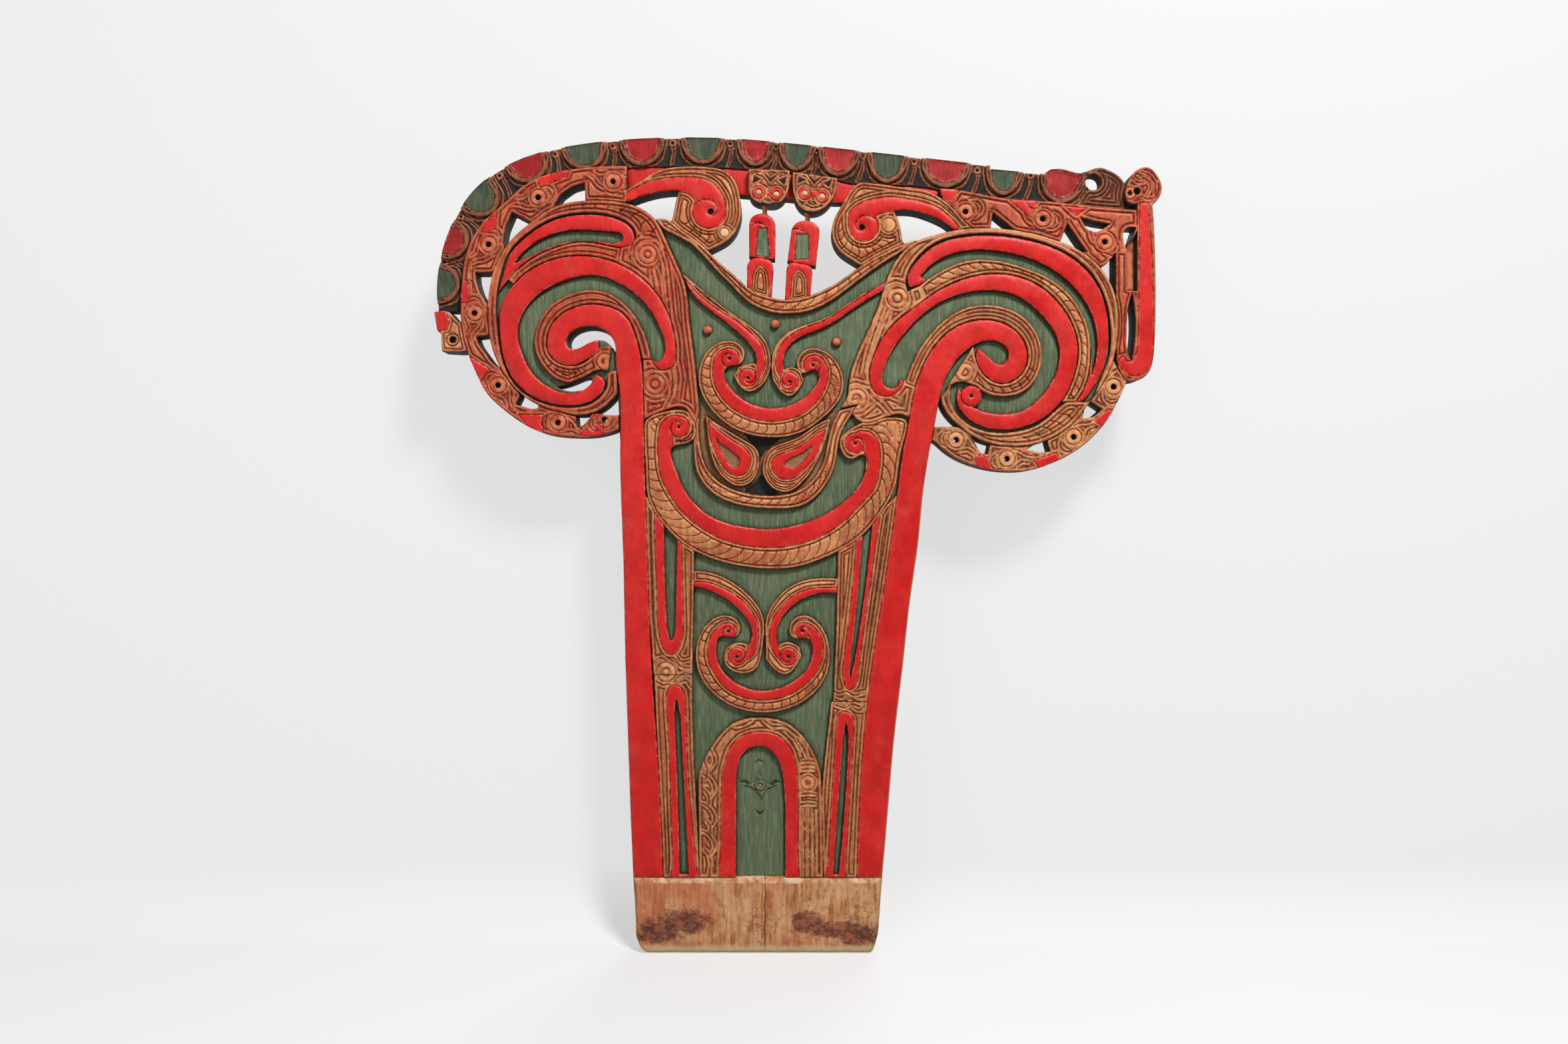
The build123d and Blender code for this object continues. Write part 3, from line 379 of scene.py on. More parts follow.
def spread(edges, sections, region, inside, cells, neighbours, fill):
    """Points of a skin: its edges, rows beside them, the cuts of its cells and a loose grid."""
    lo, hi = edges.spots.min(axis=0), edges.spots.max(axis=0)
    tried, wanted = [], []

    def offer(spots, room):
        tried.append(spots)
        wanted.append(np.full(len(spots), room))

    for cell in cells:
        spots = cell.lines(lo, hi)
        offer(spots[cell.allowed(spots, np.full(len(spots), 99.0))], cell.inner)
    rows = sorted({r[0] for s in sections for r in s if r[0] > 0},
                  key=lambda d: -max(r[2] for s in sections for r in s if r[0] == d))
    for d in rows:
        having = np.array([any(r[0] == d for r in s) for s in sections])
        for sign in (1, -1):
            spots = edges.spots + sign * edges.normals * d
            offer(spots[having[region(spots)]], d)
    for d in shade_rows if neighbours else ():
        for sign in (1, -1):
            offer(neighbours.spots + sign * neighbours.normals * d, 0.5)
    grid = np.stack(np.meshgrid(np.arange(lo[0], hi[0], fill), np.arange(lo[1], hi[1], fill)), axis=-1)
    offer(grid.reshape(-1, 2), max(r[0] for r in sections[0]) + fill * 0.5)
    tried, wanted = np.vstack(tried), np.concatenate(wanted)
    ok = inside(tried)
    tried, wanted = tried[ok], wanted[ok]
    kept = {}
    for x, z in tried[edges.distance(tried) >= wanted * 0.97 - 0.02]:
        kept.setdefault((int(x / apart + 5000), int(z / apart + 5000)), (x, z))
    return np.vstack([edges.spots, np.array(list(kept.values())).reshape(-1, 2)])


def triangulated(points, links, inside):
    """Triangles between points, inside the outline and all turned the same way."""
    verts, _, faces, _, _, _ = delaunay_2d_cdt([Vector(p) for p in points.tolist()], links, [], 0, 1e-4)
    verts, faces = np.array([tuple(v) for v in verts]), np.array(faces)
    faces = faces[inside(verts[faces].mean(axis=1))]
    a, b, c = (verts[faces[:, k]] for k in range(3))
    area = (b[:, 0] - a[:, 0]) * (c[:, 1] - a[:, 1]) - (b[:, 1] - a[:, 1]) * (c[:, 0] - a[:, 0])
    faces[area < 0] = faces[area < 0][:, ::-1]
    used, again = np.unique(faces[np.abs(area) > 1e-5], return_inverse=True)
    return verts[used], again.reshape(-1, 3)


def attribute(mesh, name, values):
    mesh.attributes.new(name, "FLOAT", "POINT").data.foreach_set("value", values.astype(np.float32))


def carve(node, look, section, insets=(), lumps=(), cells=(), front=None, base=None, whole=False,
          lines=None, side="side_dark", back="back_wood", fill=4.0, slot="carved_wood", chisel=0.12,
          corner=35, beside=(), shape=None, calm=()):
    """A relief skin over a node's outline, closed by walls and a back."""
    low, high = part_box(node)
    top = low[1] / mm if front is None else front
    bottom = high[1] / mm if base is None else base
    lines = front_lines(node, top, corner) if lines is None else lines
    if whole:
        lines = [a for a in lines if not any(b is not a and within(a[:1], b)[0] for b in lines)]
    edges = Edges(lines + [i.line for i in insets])
    neighbours = Edges(beside) if beside else None
    sections = [section] + [i.section for i in insets]

    def region(points):
        which = np.zeros(len(points), int)
        for k, i in enumerate(insets):
            which[within(points, i.line)] = k + 1
        return which

    def inside(points):
        odd = np.zeros(len(points), bool)
        for line in lines:
            odd ^= within(points, line)
        return odd

    points = spread(edges, sections, region, inside, cells, neighbours, fill)
    verts, faces = triangulated(points, list(enumerate(edges.ahead.tolist())), inside)
    d = edges.distance(verts)
    which = region(verts)
    if calm:
        own = Edges([i.line for i in insets]).distance(verts) if insets else np.full(len(verts), 9.0)
        x, z = verts[:, 0], verts[:, 1] + drawn_foot
        for x0, z0, x1, z1 in calm:
            inward = np.minimum(np.minimum(x - x0, x1 - x), np.minimum(z - z0, z1 - z))
            d = np.where(inward > 0, np.maximum(d, np.where(which > 0, own, np.minimum(own, 1.7))), d)
    height, cut_grime_and_shade, tone = np.zeros(len(verts)), np.zeros(len(verts)), np.zeros(len(verts))
    for k, s in enumerate(sections):
        mine = which == k
        level = insets[k - 1].base if k else 0.0
        height[mine] = level + np.interp(d[mine], [r[0] for r in s], [r[1] for r in s])
        cut_grime_and_shade[mine] = np.interp(d[mine], [r[0] for r in s], [r[2] for r in s])
    for cell in cells:
        phase = cell.phase(verts)
        off = np.abs(phase - np.round(phase)) * cell.pitch
        use = cell.allowed(verts, d) & (which == 0)
        cut_here = np.where(use, np.clip(1 - off / leaf_half, 0, 1), 0)
        height -= leaf_cut * cut_here + np.where(use, 0.5 * (off < 2) * (1 - off / 2), 0)
        cut_grime_and_shade = np.maximum(cut_grime_and_shade, cut_here)
        tone += np.where(use, np.sin(np.floor(phase + 0.5) * 12.9898) * 0.5, 0)
    for x, z, radius, rise in lumps:
        away = np.linalg.norm(verts - (x, z - drawn_foot), axis=1) / radius
        height += rise * np.clip(1 - away ** 2, 0, 1) ** 0.7
    # The ground beside a relief sinks a little and is marked as a cut, so the materials paint it darker:
    # painted shade.
    if neighbours:
        near = neighbours.distance(verts)
        cut_grime_and_shade = np.maximum(cut_grime_and_shade, np.interp(near, shade_rows, [1, 0.55, 0]))
        height -= np.interp(near, shade_rows, [0.9, 0.5, 0])
    if shape:
        height += shape(verts[:, 0], verts[:, 1])
    height += chisel * wobble(verts, 40, 5) + chisel * 0.7 * wobble(verts, 13, 7)
    cut_grime_and_shade = cut_grime_and_shade * (0.86 + 0.14 * wobble(verts, 9, 3.0))
    height = np.maximum(-top + height, -bottom + least_skin)
    height = np.minimum(height, -cad_low[1] / mm - box_margin)

    n = len(verts)
    ends = dict.fromkeys(e for i, j, k in faces.tolist() for e in ((i, j), (j, k), (k, i)))
    walls = [(j, i, i + n, j + n) for i, j in ends if (j, i) not in ends]
    backs = faces[:, ::-1] + n
    front_xyz = np.stack([verts[:, 0], -height, verts[:, 1]], axis=1)
    back_xyz = np.stack([verts[:, 0], np.full(n, bottom), verts[:, 1]], axis=1)
    mesh = bpy.data.meshes.new(node + "_carved")
    mesh.from_pydata((np.vstack([front_xyz, back_xyz]) * mm).tolist(), [],
                     faces.tolist() + walls + backs.tolist())
    looks = [look, side, back] + [i.look for i in insets]
    names = list(dict.fromkeys(looks))
    for name in names:
        mesh.materials.append(finish[name])
    slots = np.array([names.index(x) for x in looks])
    part = region(verts[faces].mean(axis=1))
    numbers = np.concatenate([slots[np.where(part > 0, part + 2, 0)], np.full(len(walls), slots[1]),
                              np.full(len(backs), slots[2])])
    mesh.polygons.foreach_set("material_index", numbers.astype(np.int32))
    for name, values, behind in (("cut_grime_and_shade", cut_grime_and_shade, 0.0), ("rim", d, 3.0), ("tone", tone, 0.0)):
        attribute(mesh, name, np.concatenate([values, np.full(n, behind)]))
    mesh.validate()
    mesh.update()
    piece = bpy.data.objects.new(node + "_carved", mesh)
    bpy.context.scene.collection.objects.link(piece)
    bpy.ops.object.select_all(action="DESELECT")
    piece.select_set(True)
    bpy.context.view_layer.objects.active = piece
    bpy.ops.object.shade_smooth_by_angle(angle=math.radians(sharp_from))
    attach(piece, "root")
    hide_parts(node)


# Node helpers for the materials

def add(tree, kind, inputs=None, **settings):
    n = tree.nodes.new("ShaderNode" + kind)
    for key, value in settings.items():
        setattr(n, key, value)
    for key, value in (inputs or {}).items():
        if isinstance(value, bpy.types.NodeSocket):
            tree.links.new(value, n.inputs[key])
        else:
            n.inputs[key].default_value = value
    return n


def linear(colour):
    """A colour as a picture shows it, 0 to 255, made linear. Sockets pass as they are."""
    if not isinstance(colour, tuple):
        return colour
    shares = [c / 255 for c in colour]
    return tuple(c / 12.92 if c <= 0.04045 else ((c + 0.055) / 1.055) ** 2.4 for c in shares) + (1,)


def blend(tree, factor, a, b):
    return add(tree, "Mix", {0: factor, 6: linear(a), 7: linear(b)}, data_type="RGBA").outputs[2]


def layered(tree, colour, *coats):
    """A colour under coats, each of which covers a share of its mask."""
    for mask, share, over in coats:
        colour = blend(tree, times(tree, mask, share), colour, over)
    return colour


def calc(tree, operation, a, b=0.0):
    return add(tree, "Math", {0: a, 1: b}, operation=operation).outputs[0]


def times(tree, a, b):
    return calc(tree, "MULTIPLY", a, b)


def plus(tree, a, b):
    return calc(tree, "ADD", a, b)


def minus(tree, a, b):
    return calc(tree, "SUBTRACT", a, b)


def ease(tree, value, low, high):
    """0 below low, 1 above high."""
    return add(tree, "MapRange", {0: value, 1: low, 2: high, 3: 0.0, 4: 1.0},
               interpolation_type="SMOOTHSTEP").outputs[0]


def fade(tree, value, low, high):
    """1 below low, 0 above high."""
    return minus(tree, 1.0, ease(tree, value, low, high))


def told(tree, name):
    """What a skin's own attribute says."""
    return add(tree, "Attribute", attribute_name=name).outputs["Fac"]


def axes(tree):
    return add(tree, "SeparateXYZ", {0: add(tree, "TexCoord").outputs["Object"]}).outputs


def shared(name, ins, outs):
    group = bpy.data.node_groups.new(name, "ShaderNodeTree")
    for label, default in ins:
        socket = group.interface.new_socket(label, in_out="INPUT", socket_type="NodeSocketFloat")
        socket.default_value = default
    for label in outs:
        group.interface.new_socket(label, in_out="OUTPUT", socket_type="NodeSocketFloat")
    return group, group.nodes.new("NodeGroupInput"), group.nodes.new("NodeGroupOutput")


def noise(tree, scale, detail=3.0, rough=0.55, stretch=(1, 1, 1), shift=(0, 0, 0)):
    where = add(tree, "TexCoord").outputs["Object"]
    moved = add(tree, "Mapping", {"Vector": where, "Scale": stretch, "Location": shift}).outputs[0]
    return add(tree, "TexNoise", {"Vector": moved, "Scale": scale, "Detail": detail,
                                  "Roughness": rough}).outputs[0]


# Grain that runs up the slab, fine upright tool strokes, slow blotches, patches and specks:
# low and high end of the noise that counts, then the noise itself
patterns = {
    "Grain": (0.3, 0.7, 260, 4, 0.6, (1, 1, 0.05)),
    "Strokes": (0.4, 0.66, 620, 2, 0.5, (1, 1, 0.09), (0.3, 0, 0)),
    "Blotch": (0.35, 0.65, 24, 4, 0.6),
    "Patch": (0.38, 0.66, 95, 3, 0.6, (1, 1, 0.6), (0, 0, 0.7)),
    "Speck": (0.5, 0.75, 900, 3, 0.7),
}
grain, _, out = shared("board_grain", [], list(patterns))
for label, (low, high, *pattern) in patterns.items():
    grain.links.new(ease(grain, noise(grain, *pattern), low, high), out.inputs[label])

# Where paint has rubbed off or gathered: a thin worn line beside each edge, broken by noise. The same group
# darkens the cuts, as residue and painted shade, and lightens the strand crowns in broken spots as a painted
# highlight.
worn, given, out = shared("edge_wear_and_painted_light", [("From", 0.3), ("To", 1.6)], ["Line", "CutGrimeAndShade", "CrownHighlight"])
outer_side = add(worn, "MapRange", {0: told(worn, "rim"), 1: given.outputs["To"],
                                    2: given.outputs["From"]}).outputs[0]
broken = ease(worn, noise(worn, 170, 4, 0.65), 0.45, 0.62)
worn.links.new(times(worn, outer_side, broken), out.inputs["Line"])
cut_line = told(worn, "cut_grime_and_shade")
worn.links.new(ease(worn, cut_line, 0.25, 1.0), out.inputs["CutGrimeAndShade"])
crown_highlight_spots = ease(worn, noise(worn, 85, 3, 0.6), 0.34, 0.58)
worn.links.new(times(worn, fade(worn, cut_line, 0.0, 0.13), crown_highlight_spots), out.inputs["CrownHighlight"])

sheen, bump_height = 0.28, 0.0004


def start(name):
    material = bpy.data.materials.new(name)
    material.use_nodes = True
    tree = material.node_tree
    tree.nodes["Principled BSDF"].inputs["Specular IOR Level"].default_value = sheen
    board, wear_and_light = (tree.nodes.new("ShaderNodeGroup") for _ in range(2))
    board.node_tree, wear_and_light.node_tree = grain, worn
    return material, tree, board.outputs, wear_and_light.outputs


def close(material, colour, height, strength, by, smooth, rough):
    """Colour, relief and a roughness that runs from smooth to rough with a mask."""
    tree = material.node_tree
    shader = tree.nodes["Principled BSDF"]
    bump = add(tree, "Bump", {"Height": height, "Strength": strength, "Distance": bump_height})
    spread = add(tree, "MapRange", {0: by, 3: smooth, 4: rough})
    for socket, label in ((colour, "Base Color"), (bump.outputs[0], "Normal"),
                          (spread.outputs[0], "Roughness")):
        tree.links.new(socket, shader.inputs[label])
    return material


def red_paint(name, main, light, dark):
    material, tree, board, wear_and_light = start(name)
    pink_rub_and_sheen = ease(tree, noise(tree, 46, 4, 0.7), 0.54, 0.75)
    # the stem's right edge is rubbed down to the wood
    x, _, z = axes(tree)
    right = calc(tree, "GREATER_THAN", x, plus(tree, 0.111, times(tree, z, 0.084)))
    right = times(tree, right, calc(tree, "LESS_THAN", z, 0.46))
    # Pink patches stand partly for rubbed paint and partly for a painted sheen; the cuts are darkened with
    # residue and painted shade.
    colour = layered(
        tree, blend(tree, board["Blotch"], main, light), (board["Patch"], 0.35, dark),
        (board["Strokes"], 0.18, dark), (pink_rub_and_sheen, 0.28, (216, 84, 74)), (wear_and_light["Line"], 0.75, (216, 138, 120)),
        (wear_and_light["CutGrimeAndShade"], 0.9, (66, 18, 14)), (fade(tree, told(tree, "rim"), 0.7, 1.5), right, (176, 122, 84)))
    return close(material, colour, board["Strokes"], 0.3, board["Blotch"], 0.34, 0.5)


def green_paint(name, main, light, streak=0.5):
    material, tree, board, wear_and_light = start(name)
    # The cuts and the ground next to the relief are darkened: painted shade, with residue in the cuts.
    colour = layered(
        tree, blend(tree, board["Blotch"], main, light), (board["Patch"], 0.3, (104, 92, 70)),
        (board["Strokes"], streak, (132, 140, 110)), (board["Grain"], 0.3, (46, 62, 44)),
        (wear_and_light["Line"], 0.5, (160, 130, 92)), (wear_and_light["CutGrimeAndShade"], 0.85, (26, 30, 24)))
    return close(material, colour, board["Strokes"], 0.5, board["Blotch"], 0.62, 0.8)


def carved(name, main, light, dark, residue, pink):
    """Wood with leftover paint, a painted highlight on its crowns, and residue with painted shade darkening
    its cuts.
    """
    material, tree, board, wear_and_light = start(name)
    amount = plus(tree, times(tree, board["Grain"], 0.45), times(tree, told(tree, "tone"), 0.45))
    colour = layered(
        tree, blend(tree, amount, main, light), (board["Patch"], pink, residue),
        (board["Blotch"], 0.35, dark), (board["Speck"], 0.3, light), (wear_and_light["Line"], 0.75, light),
        (wear_and_light["CrownHighlight"], 0.62, light),
        (wear_and_light["CutGrimeAndShade"], 1.0, blend(tree, 0.5, dark, (28, 12, 8))))
    return close(material, colour, board["Grain"], 0.45, board["Grain"], 0.42, 0.64)


def plain_side(name, main, other):
    material, tree, board, _ = start(name)
    colour = layered(tree, blend(tree, board["Blotch"], main, other), (board["Grain"], 0.4, (22, 20, 16)))
    return close(material, colour, board["Grain"], 0.5, board["Blotch"], 0.65, 0.85)


def dressed_wood(name, main, light, dark):
    """Bare wood of the back: long grain with darker growth lines, no carving."""
    material, tree, board, _ = start(name)
    growth = ease(tree, noise(tree, 52, 4, 0.6, (1, 1, 0.1), (0.1, 0, 0)), 0.42, 0.62)
    colour = layered(tree, blend(tree, board["Grain"], main, light), (growth, 0.5, dark),
                     (board["Blotch"], 0.25, dark), (board["Strokes"], 0.35, dark))
    return close(material, colour, board["Grain"], 0.5, board["Grain"], 0.6, 0.78)


stains = [(-0.097, 0.022, 0.024, 0.012), (-0.072, 0.032, 0.026, 0.012), (0.049, 0.031, 0.016, 0.01),
          (0.078, 0.024, 0.026, 0.008), (0.098, 0.018, 0.018, 0.012)]  # x, z and both half sizes


def foot_wood(name):
    """Bare wood with open grain, two damp stains, a drying crack and a paler worn lower edge."""
    material, tree, board, _ = start(name)
    x, y, z = axes(tree)
    in_front = calc(tree, "LESS_THAN", y, -0.004)
    ragged = times(tree, minus(tree, noise(tree, 62, 7, 0.8), 0.5), 5.5)
    scuffed = ease(tree, noise(tree, 130, 6, 0.75, (1, 1, 0.35), (0.2, 0, 0.4)), 0.54, 0.66)
    warm = ease(tree, noise(tree, 14, 2, 0.5, (1, 1, 0.5), (0, 0, 0.2)), 0.5, 0.62)
    stain = 0.0
    for cx, cz, rx, rz in stains:
        u = calc(tree, "DIVIDE", minus(tree, x, cx), rx)
        v = calc(tree, "DIVIDE", minus(tree, z, cz), rz)
        away = plus(tree, times(tree, u, u), times(tree, v, v))
        stain = calc(tree, "MAXIMUM", stain, fade(tree, plus(tree, away, ragged), 0.5, 1.3))
    murk = blend(tree, ease(tree, noise(tree, 105, 6, 0.8, (1, 1, 1.6)), 0.4, 0.6), (62, 32, 32),
                 (156, 88, 62))
    vein = calc(tree, "ABSOLUTE", minus(tree, noise(tree, 55, 4, 0.7, (1, 1, 1.6), (0.4, 0, 0.1)), 0.5))
    near = times(tree, fade(tree, z, 0.046, 0.056),
                 ease(tree, noise(tree, 26, 3, 0.6, shift=(0.1, 0, 0.3)), 0.46, 0.56))
    vein = times(tree, times(tree, fade(tree, vein, 0.004, 0.02), near), in_front)
    crack_at = plus(tree, 0.0072, times(tree, minus(tree, noise(tree, 60, 2, 0.5, (0, 0, 1)), 0.5), 0.006))
    crack = fade(tree, calc(tree, "ABSOLUTE", minus(tree, x, crack_at)), 0.0002, 0.0006)
    lower = fade(tree, plus(tree, z, times(tree, ragged, 0.0012)), 0.004, 0.011)
    upper = ease(tree, plus(tree, z, times(tree, ragged, 0.0009)), 0.0688, 0.07)
    upper = times(tree, upper, ease(tree, noise(tree, 60, 3, 0.6), 0.42, 0.6))
    colour = layered(
        tree, blend(tree, board["Grain"], (166, 98, 56), (218, 158, 106)),
        (board["Strokes"], 0.55, (134, 76, 44)),
        (board["Patch"], 0.42, (238, 198, 150)), (scuffed, 0.7, (122, 66, 44)), (warm, 0.5, (190, 96, 62)),
        (times(tree, stain, in_front), 0.92, murk), (vein, 0.75, (84, 44, 34)), (crack, 1.0, (50, 30, 20)),
        (lower, 0.85, (238, 206, 158)), (upper, 0.85, (232, 196, 164)))
    return close(material, colour, minus(tree, board["Grain"], crack), 0.6, board["Grain"], 0.6, 0.8)


finish = {
    "red": red_paint("red_paint", (204, 22, 19), (216, 38, 32), (156, 18, 17)),
    # The frieze's red and green are darker than the rest.
    "darker_red": red_paint("darker_red_paint", (148, 16, 18), (170, 26, 26), (98, 12, 14)),
    "green": green_paint("green_paint", (72, 90, 62), (94, 110, 80)),
    "darker_green": green_paint("darker_green_paint", (44, 58, 42), (62, 74, 54), 0.2),
    "ochre": carved("ochre_carving", (156, 78, 40), (240, 176, 118), (92, 44, 28), (184, 74, 52), 0.5),
    "ruddy": carved("ruddy_carving", (150, 55, 32), (222, 134, 88), (88, 32, 25), (196, 54, 42), 0.6),
    "brown": carved("frieze_carving", (98, 52, 34), (184, 114, 76), (46, 28, 22), (128, 46, 38), 0.45),
    "core": carved("drop_core", (138, 96, 62), (168, 126, 86), (70, 44, 28), (120, 74, 50), 0.5),
    "pale": carved("pale_wood", (206, 160, 112), (230, 194, 150), (120, 74, 46), (216, 170, 130), 0.3),
    # Near-black finish that stands for shade: painted shade in pits, deep slots, the frieze's ground, narrow
    # cuts and the star's walls
    "dark": plain_side("recess_painted_shade", (22, 24, 22), (38, 34, 26)),
    "side_dark": plain_side("openwork_wall", (40, 50, 48), (74, 56, 42)),
    "side_red": plain_side("red_wall", (128, 22, 20), (80, 30, 22)),
    "side_brown": plain_side("brown_wall", (110, 62, 36), (66, 44, 30)),
    "back_wood": dressed_wood("back_wood", (132, 90, 58), (172, 126, 86), (88, 56, 36)),
    "foot": foot_wood("foot_wood"),
}

# Bare foot, worn at its corners and along its lower edge

def worn_foot(x, z):
    lower = np.clip(1 - z / 9, 0, 1)
    outer = np.clip((np.abs(x) + 9 - z * 0.1 - 119) / 6, 0, 1)
    return -3.4 * lower ** 2 - 2.2 * outer ** 2


stretched = 12  # the outline's lowest millimetres, drawn down to the floor
foot_lines = front_lines("foot", board_front, 80)
for line in foot_lines:
    low = line[:, 1] < stretched
    line[low, 1] = (line[low, 1] - line[:, 1].min()) * stretched / (stretched - line[:, 1].min())
carve("foot", "foot", rounded, slot="bare_wood", side="foot", back="foot", fill=3, lines=foot_lines,
      shape=worn_foot, chisel=0.3)


def nick(left, upper, right, lower):
    """A small two-sided cut in the green ground."""
    return Inset(curve([left, upper, right], [right, lower, left]), "green", scratch)


# Sunk green ground, with a deep throat and four small cuts round the star
raised = [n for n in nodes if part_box(n)[0][1] < (board_front + relief_front) / 2 * mm and "figure" not in n]
relief_lines = [line for n in raised for line in front_lines(n, relief_front)]
throat_floor = curve(
    [(-57, 534), (-56, 498), (-46.6, 473.6), (-25, 458), (10, 451.5), (40.6, 457), (62, 480), (69.7, 510),
     (80, 535)],
    [(80, 535), (66.6, 530), (40.6, 512.6), (10, 508.5), (-20.6, 515.7), (-45, 535), (-57, 534)],
)
ground_cuts = {"stem_board": [
    Inset(throat_floor, "core", deep, 1.2),
    # two slots between the teardrops, painted near-black as painted shade
    Inset(curve([(-14, 516), (3, 512), (24, 512.5), (17, 503), (6, 494), (3, 489), (-1, 494), (-7, 504)]),
          "dark", deep, -0.4),
    Inset(curve([(-12, 455.5), (8, 451.8), (20, 454.5), (12, 462), (4, 472), (-4, 464)]), "dark", deep, -0.4),
    nick((-3.6, 189.5), (1.4, 193), (6.2, 189.5), (1.4, 191.2)),
    nick((-3, 144.3), (2, 139), (7.5, 144.3), (2, 141.2)),
    nick((-18, 171), (-11, 172.5), (-6, 166), (-12, 169.5)),
    nick((23, 171), (16, 172.5), (11, 166), (17, 169.5)),
]}
for node in ("stem_board", "left_volute_board", "right_volute_board"):
    carve(node, "green", flat_face, slot="green_paint", fill=5, chisel=0.15, beside=relief_lines,
          side="side_brown" if node == "stem_board" else "side_dark", insets=ground_cuts.get(node, ()))

# Red ribs
for node in ("left_border_rib", "right_border_rib", "left_spiral_rib", "left_hairpin_rib",
             "right_hairpin_rib"):
    carve(node, "red", rib, side="side_red", base=relief_back, slot="red_paint")
# the spiral's end disc, with a pit painted near-black as painted shade
spiral_end = [dot(208.5, 549, 10, "red", disc_face), dot(208.5, 549, 1.6, "dark", pit)]
carve("right_spiral_rib", "red", rib, side="side_red", base=relief_back, slot="red_paint", insets=spiral_end)


def relief(node, section, look="ochre", **more):
    carve(node, look, section, side="side_brown", base=relief_back, **more)


def bosses(look, *spots):
    return [dot(*spot, look, boss) for spot in spots]


# Places where two bands run into one, so their edges are no cuts there: x and z from, x and z to
left_join, right_join, rim_ends = [(-266, 636, -234, 676)], [(150, 634, 168, 664)], [
    (-140, 740, -118, 774), (345, 684, 373, 716)]

# Bands of the left volute
left_flow = strokes("ruddy", [(-121, 684), (-121, 694), (-115, 701), (-106, 702)],
                    [(-124, 690), (-122, 700), (-115, 706)],
                    [(-95, 690), (-91, 678), (-89, 660), (-86, 630), (-83, 600)],
                    [(-100, 673), (-96, 660), (-94, 640), (-91, 610), (-88, 585)],
                    [(-104, 671), (-101, 655), (-99, 630)],
                    [(-114, 562), (-112, 551), (-103, 545), (-92, 547)],
                    [(-112, 572), (-105, 576), (-95, 574)],
                    [(-86, 580), (-83, 566), (-84, 550), (-90, 538)], [(-80, 584), (-77, 566), (-79, 548)])
relief("left_outer_band", strands(3.8, 3), "ruddy",
       insets=bosses("ruddy", (-107.5, 687, 9), (-100.4, 560.4, 10)) + left_flow,
       cells=[Cells(-172, 622, 118, 13, 0.9, 4.2, (-202, 700, -97, 745)),
              Cells(-172, 622, 92, 8, 0.2, 4.2, (-266, 596, -250, 664)),
              Cells(-93, 535, 22, 9, 0.3, 4.2, (-112, 528, -76, 552))], calm=left_join)
relief("left_second_band", strands(3.4, 2), "ruddy", calm=left_join)
relief("left_inner_band", strands(3.4, 2), "ruddy", insets=bosses("ruddy", (-149.5, 582.5, 8)),
       cells=[Cells(-172, 600, 42, 9, 0.6, 3.2, (-212, 555, -168, 585))])

# Bands of the right volute
right_flow = strokes("ochre", [(121, 648), (125, 658), (135, 662), (147, 658)],
                     [(148, 634), (151, 642), (148, 652)],
                     [(123, 636), (118, 622), (112, 606), (107, 590), (103, 572)],
                     [(129, 630), (123, 614), (117, 598), (113, 582), (112, 564)],
                     [(83, 550), (86, 559), (95, 563), (108, 559)],
                     [(82, 538), (90, 531), (102, 532), (112, 540)],
                     [(112, 548), (122, 540), (132, 528)], [(113, 556), (124, 552), (136, 546)])
relief("right_outer_band", strands(3.8, 3),
       insets=bosses("ochre", (136.3, 644.4, 10), (96.3, 545.8, 10)) + right_flow,
       cells=[Cells(225, 600, 112, 12, 0.8, 4.2, (250, 495, 340, 560)),
              Cells(225, 600, 112, 11, 0.8, 4.2, (268, 660, 345, 720))], calm=right_join)
relief("right_third_band", strands(3.0, 1), cells=[Cells(225, 590, 93, 11, 0.7, 2.9, None, 0.14)],
       calm=right_join)
relief("right_inner_band", strands(3.3, 2), insets=bosses("ochre", (202, 572, 9)),
       cells=[Cells(228, 592, 46, 10, 0.6, 3.4, (214, 540, 280, 580))])

# Window band
relief("window_band", strands(3.0, 1), cells=[Cells(25, 770, 133, 13, 1.5, 2.9, None, 0.1)])

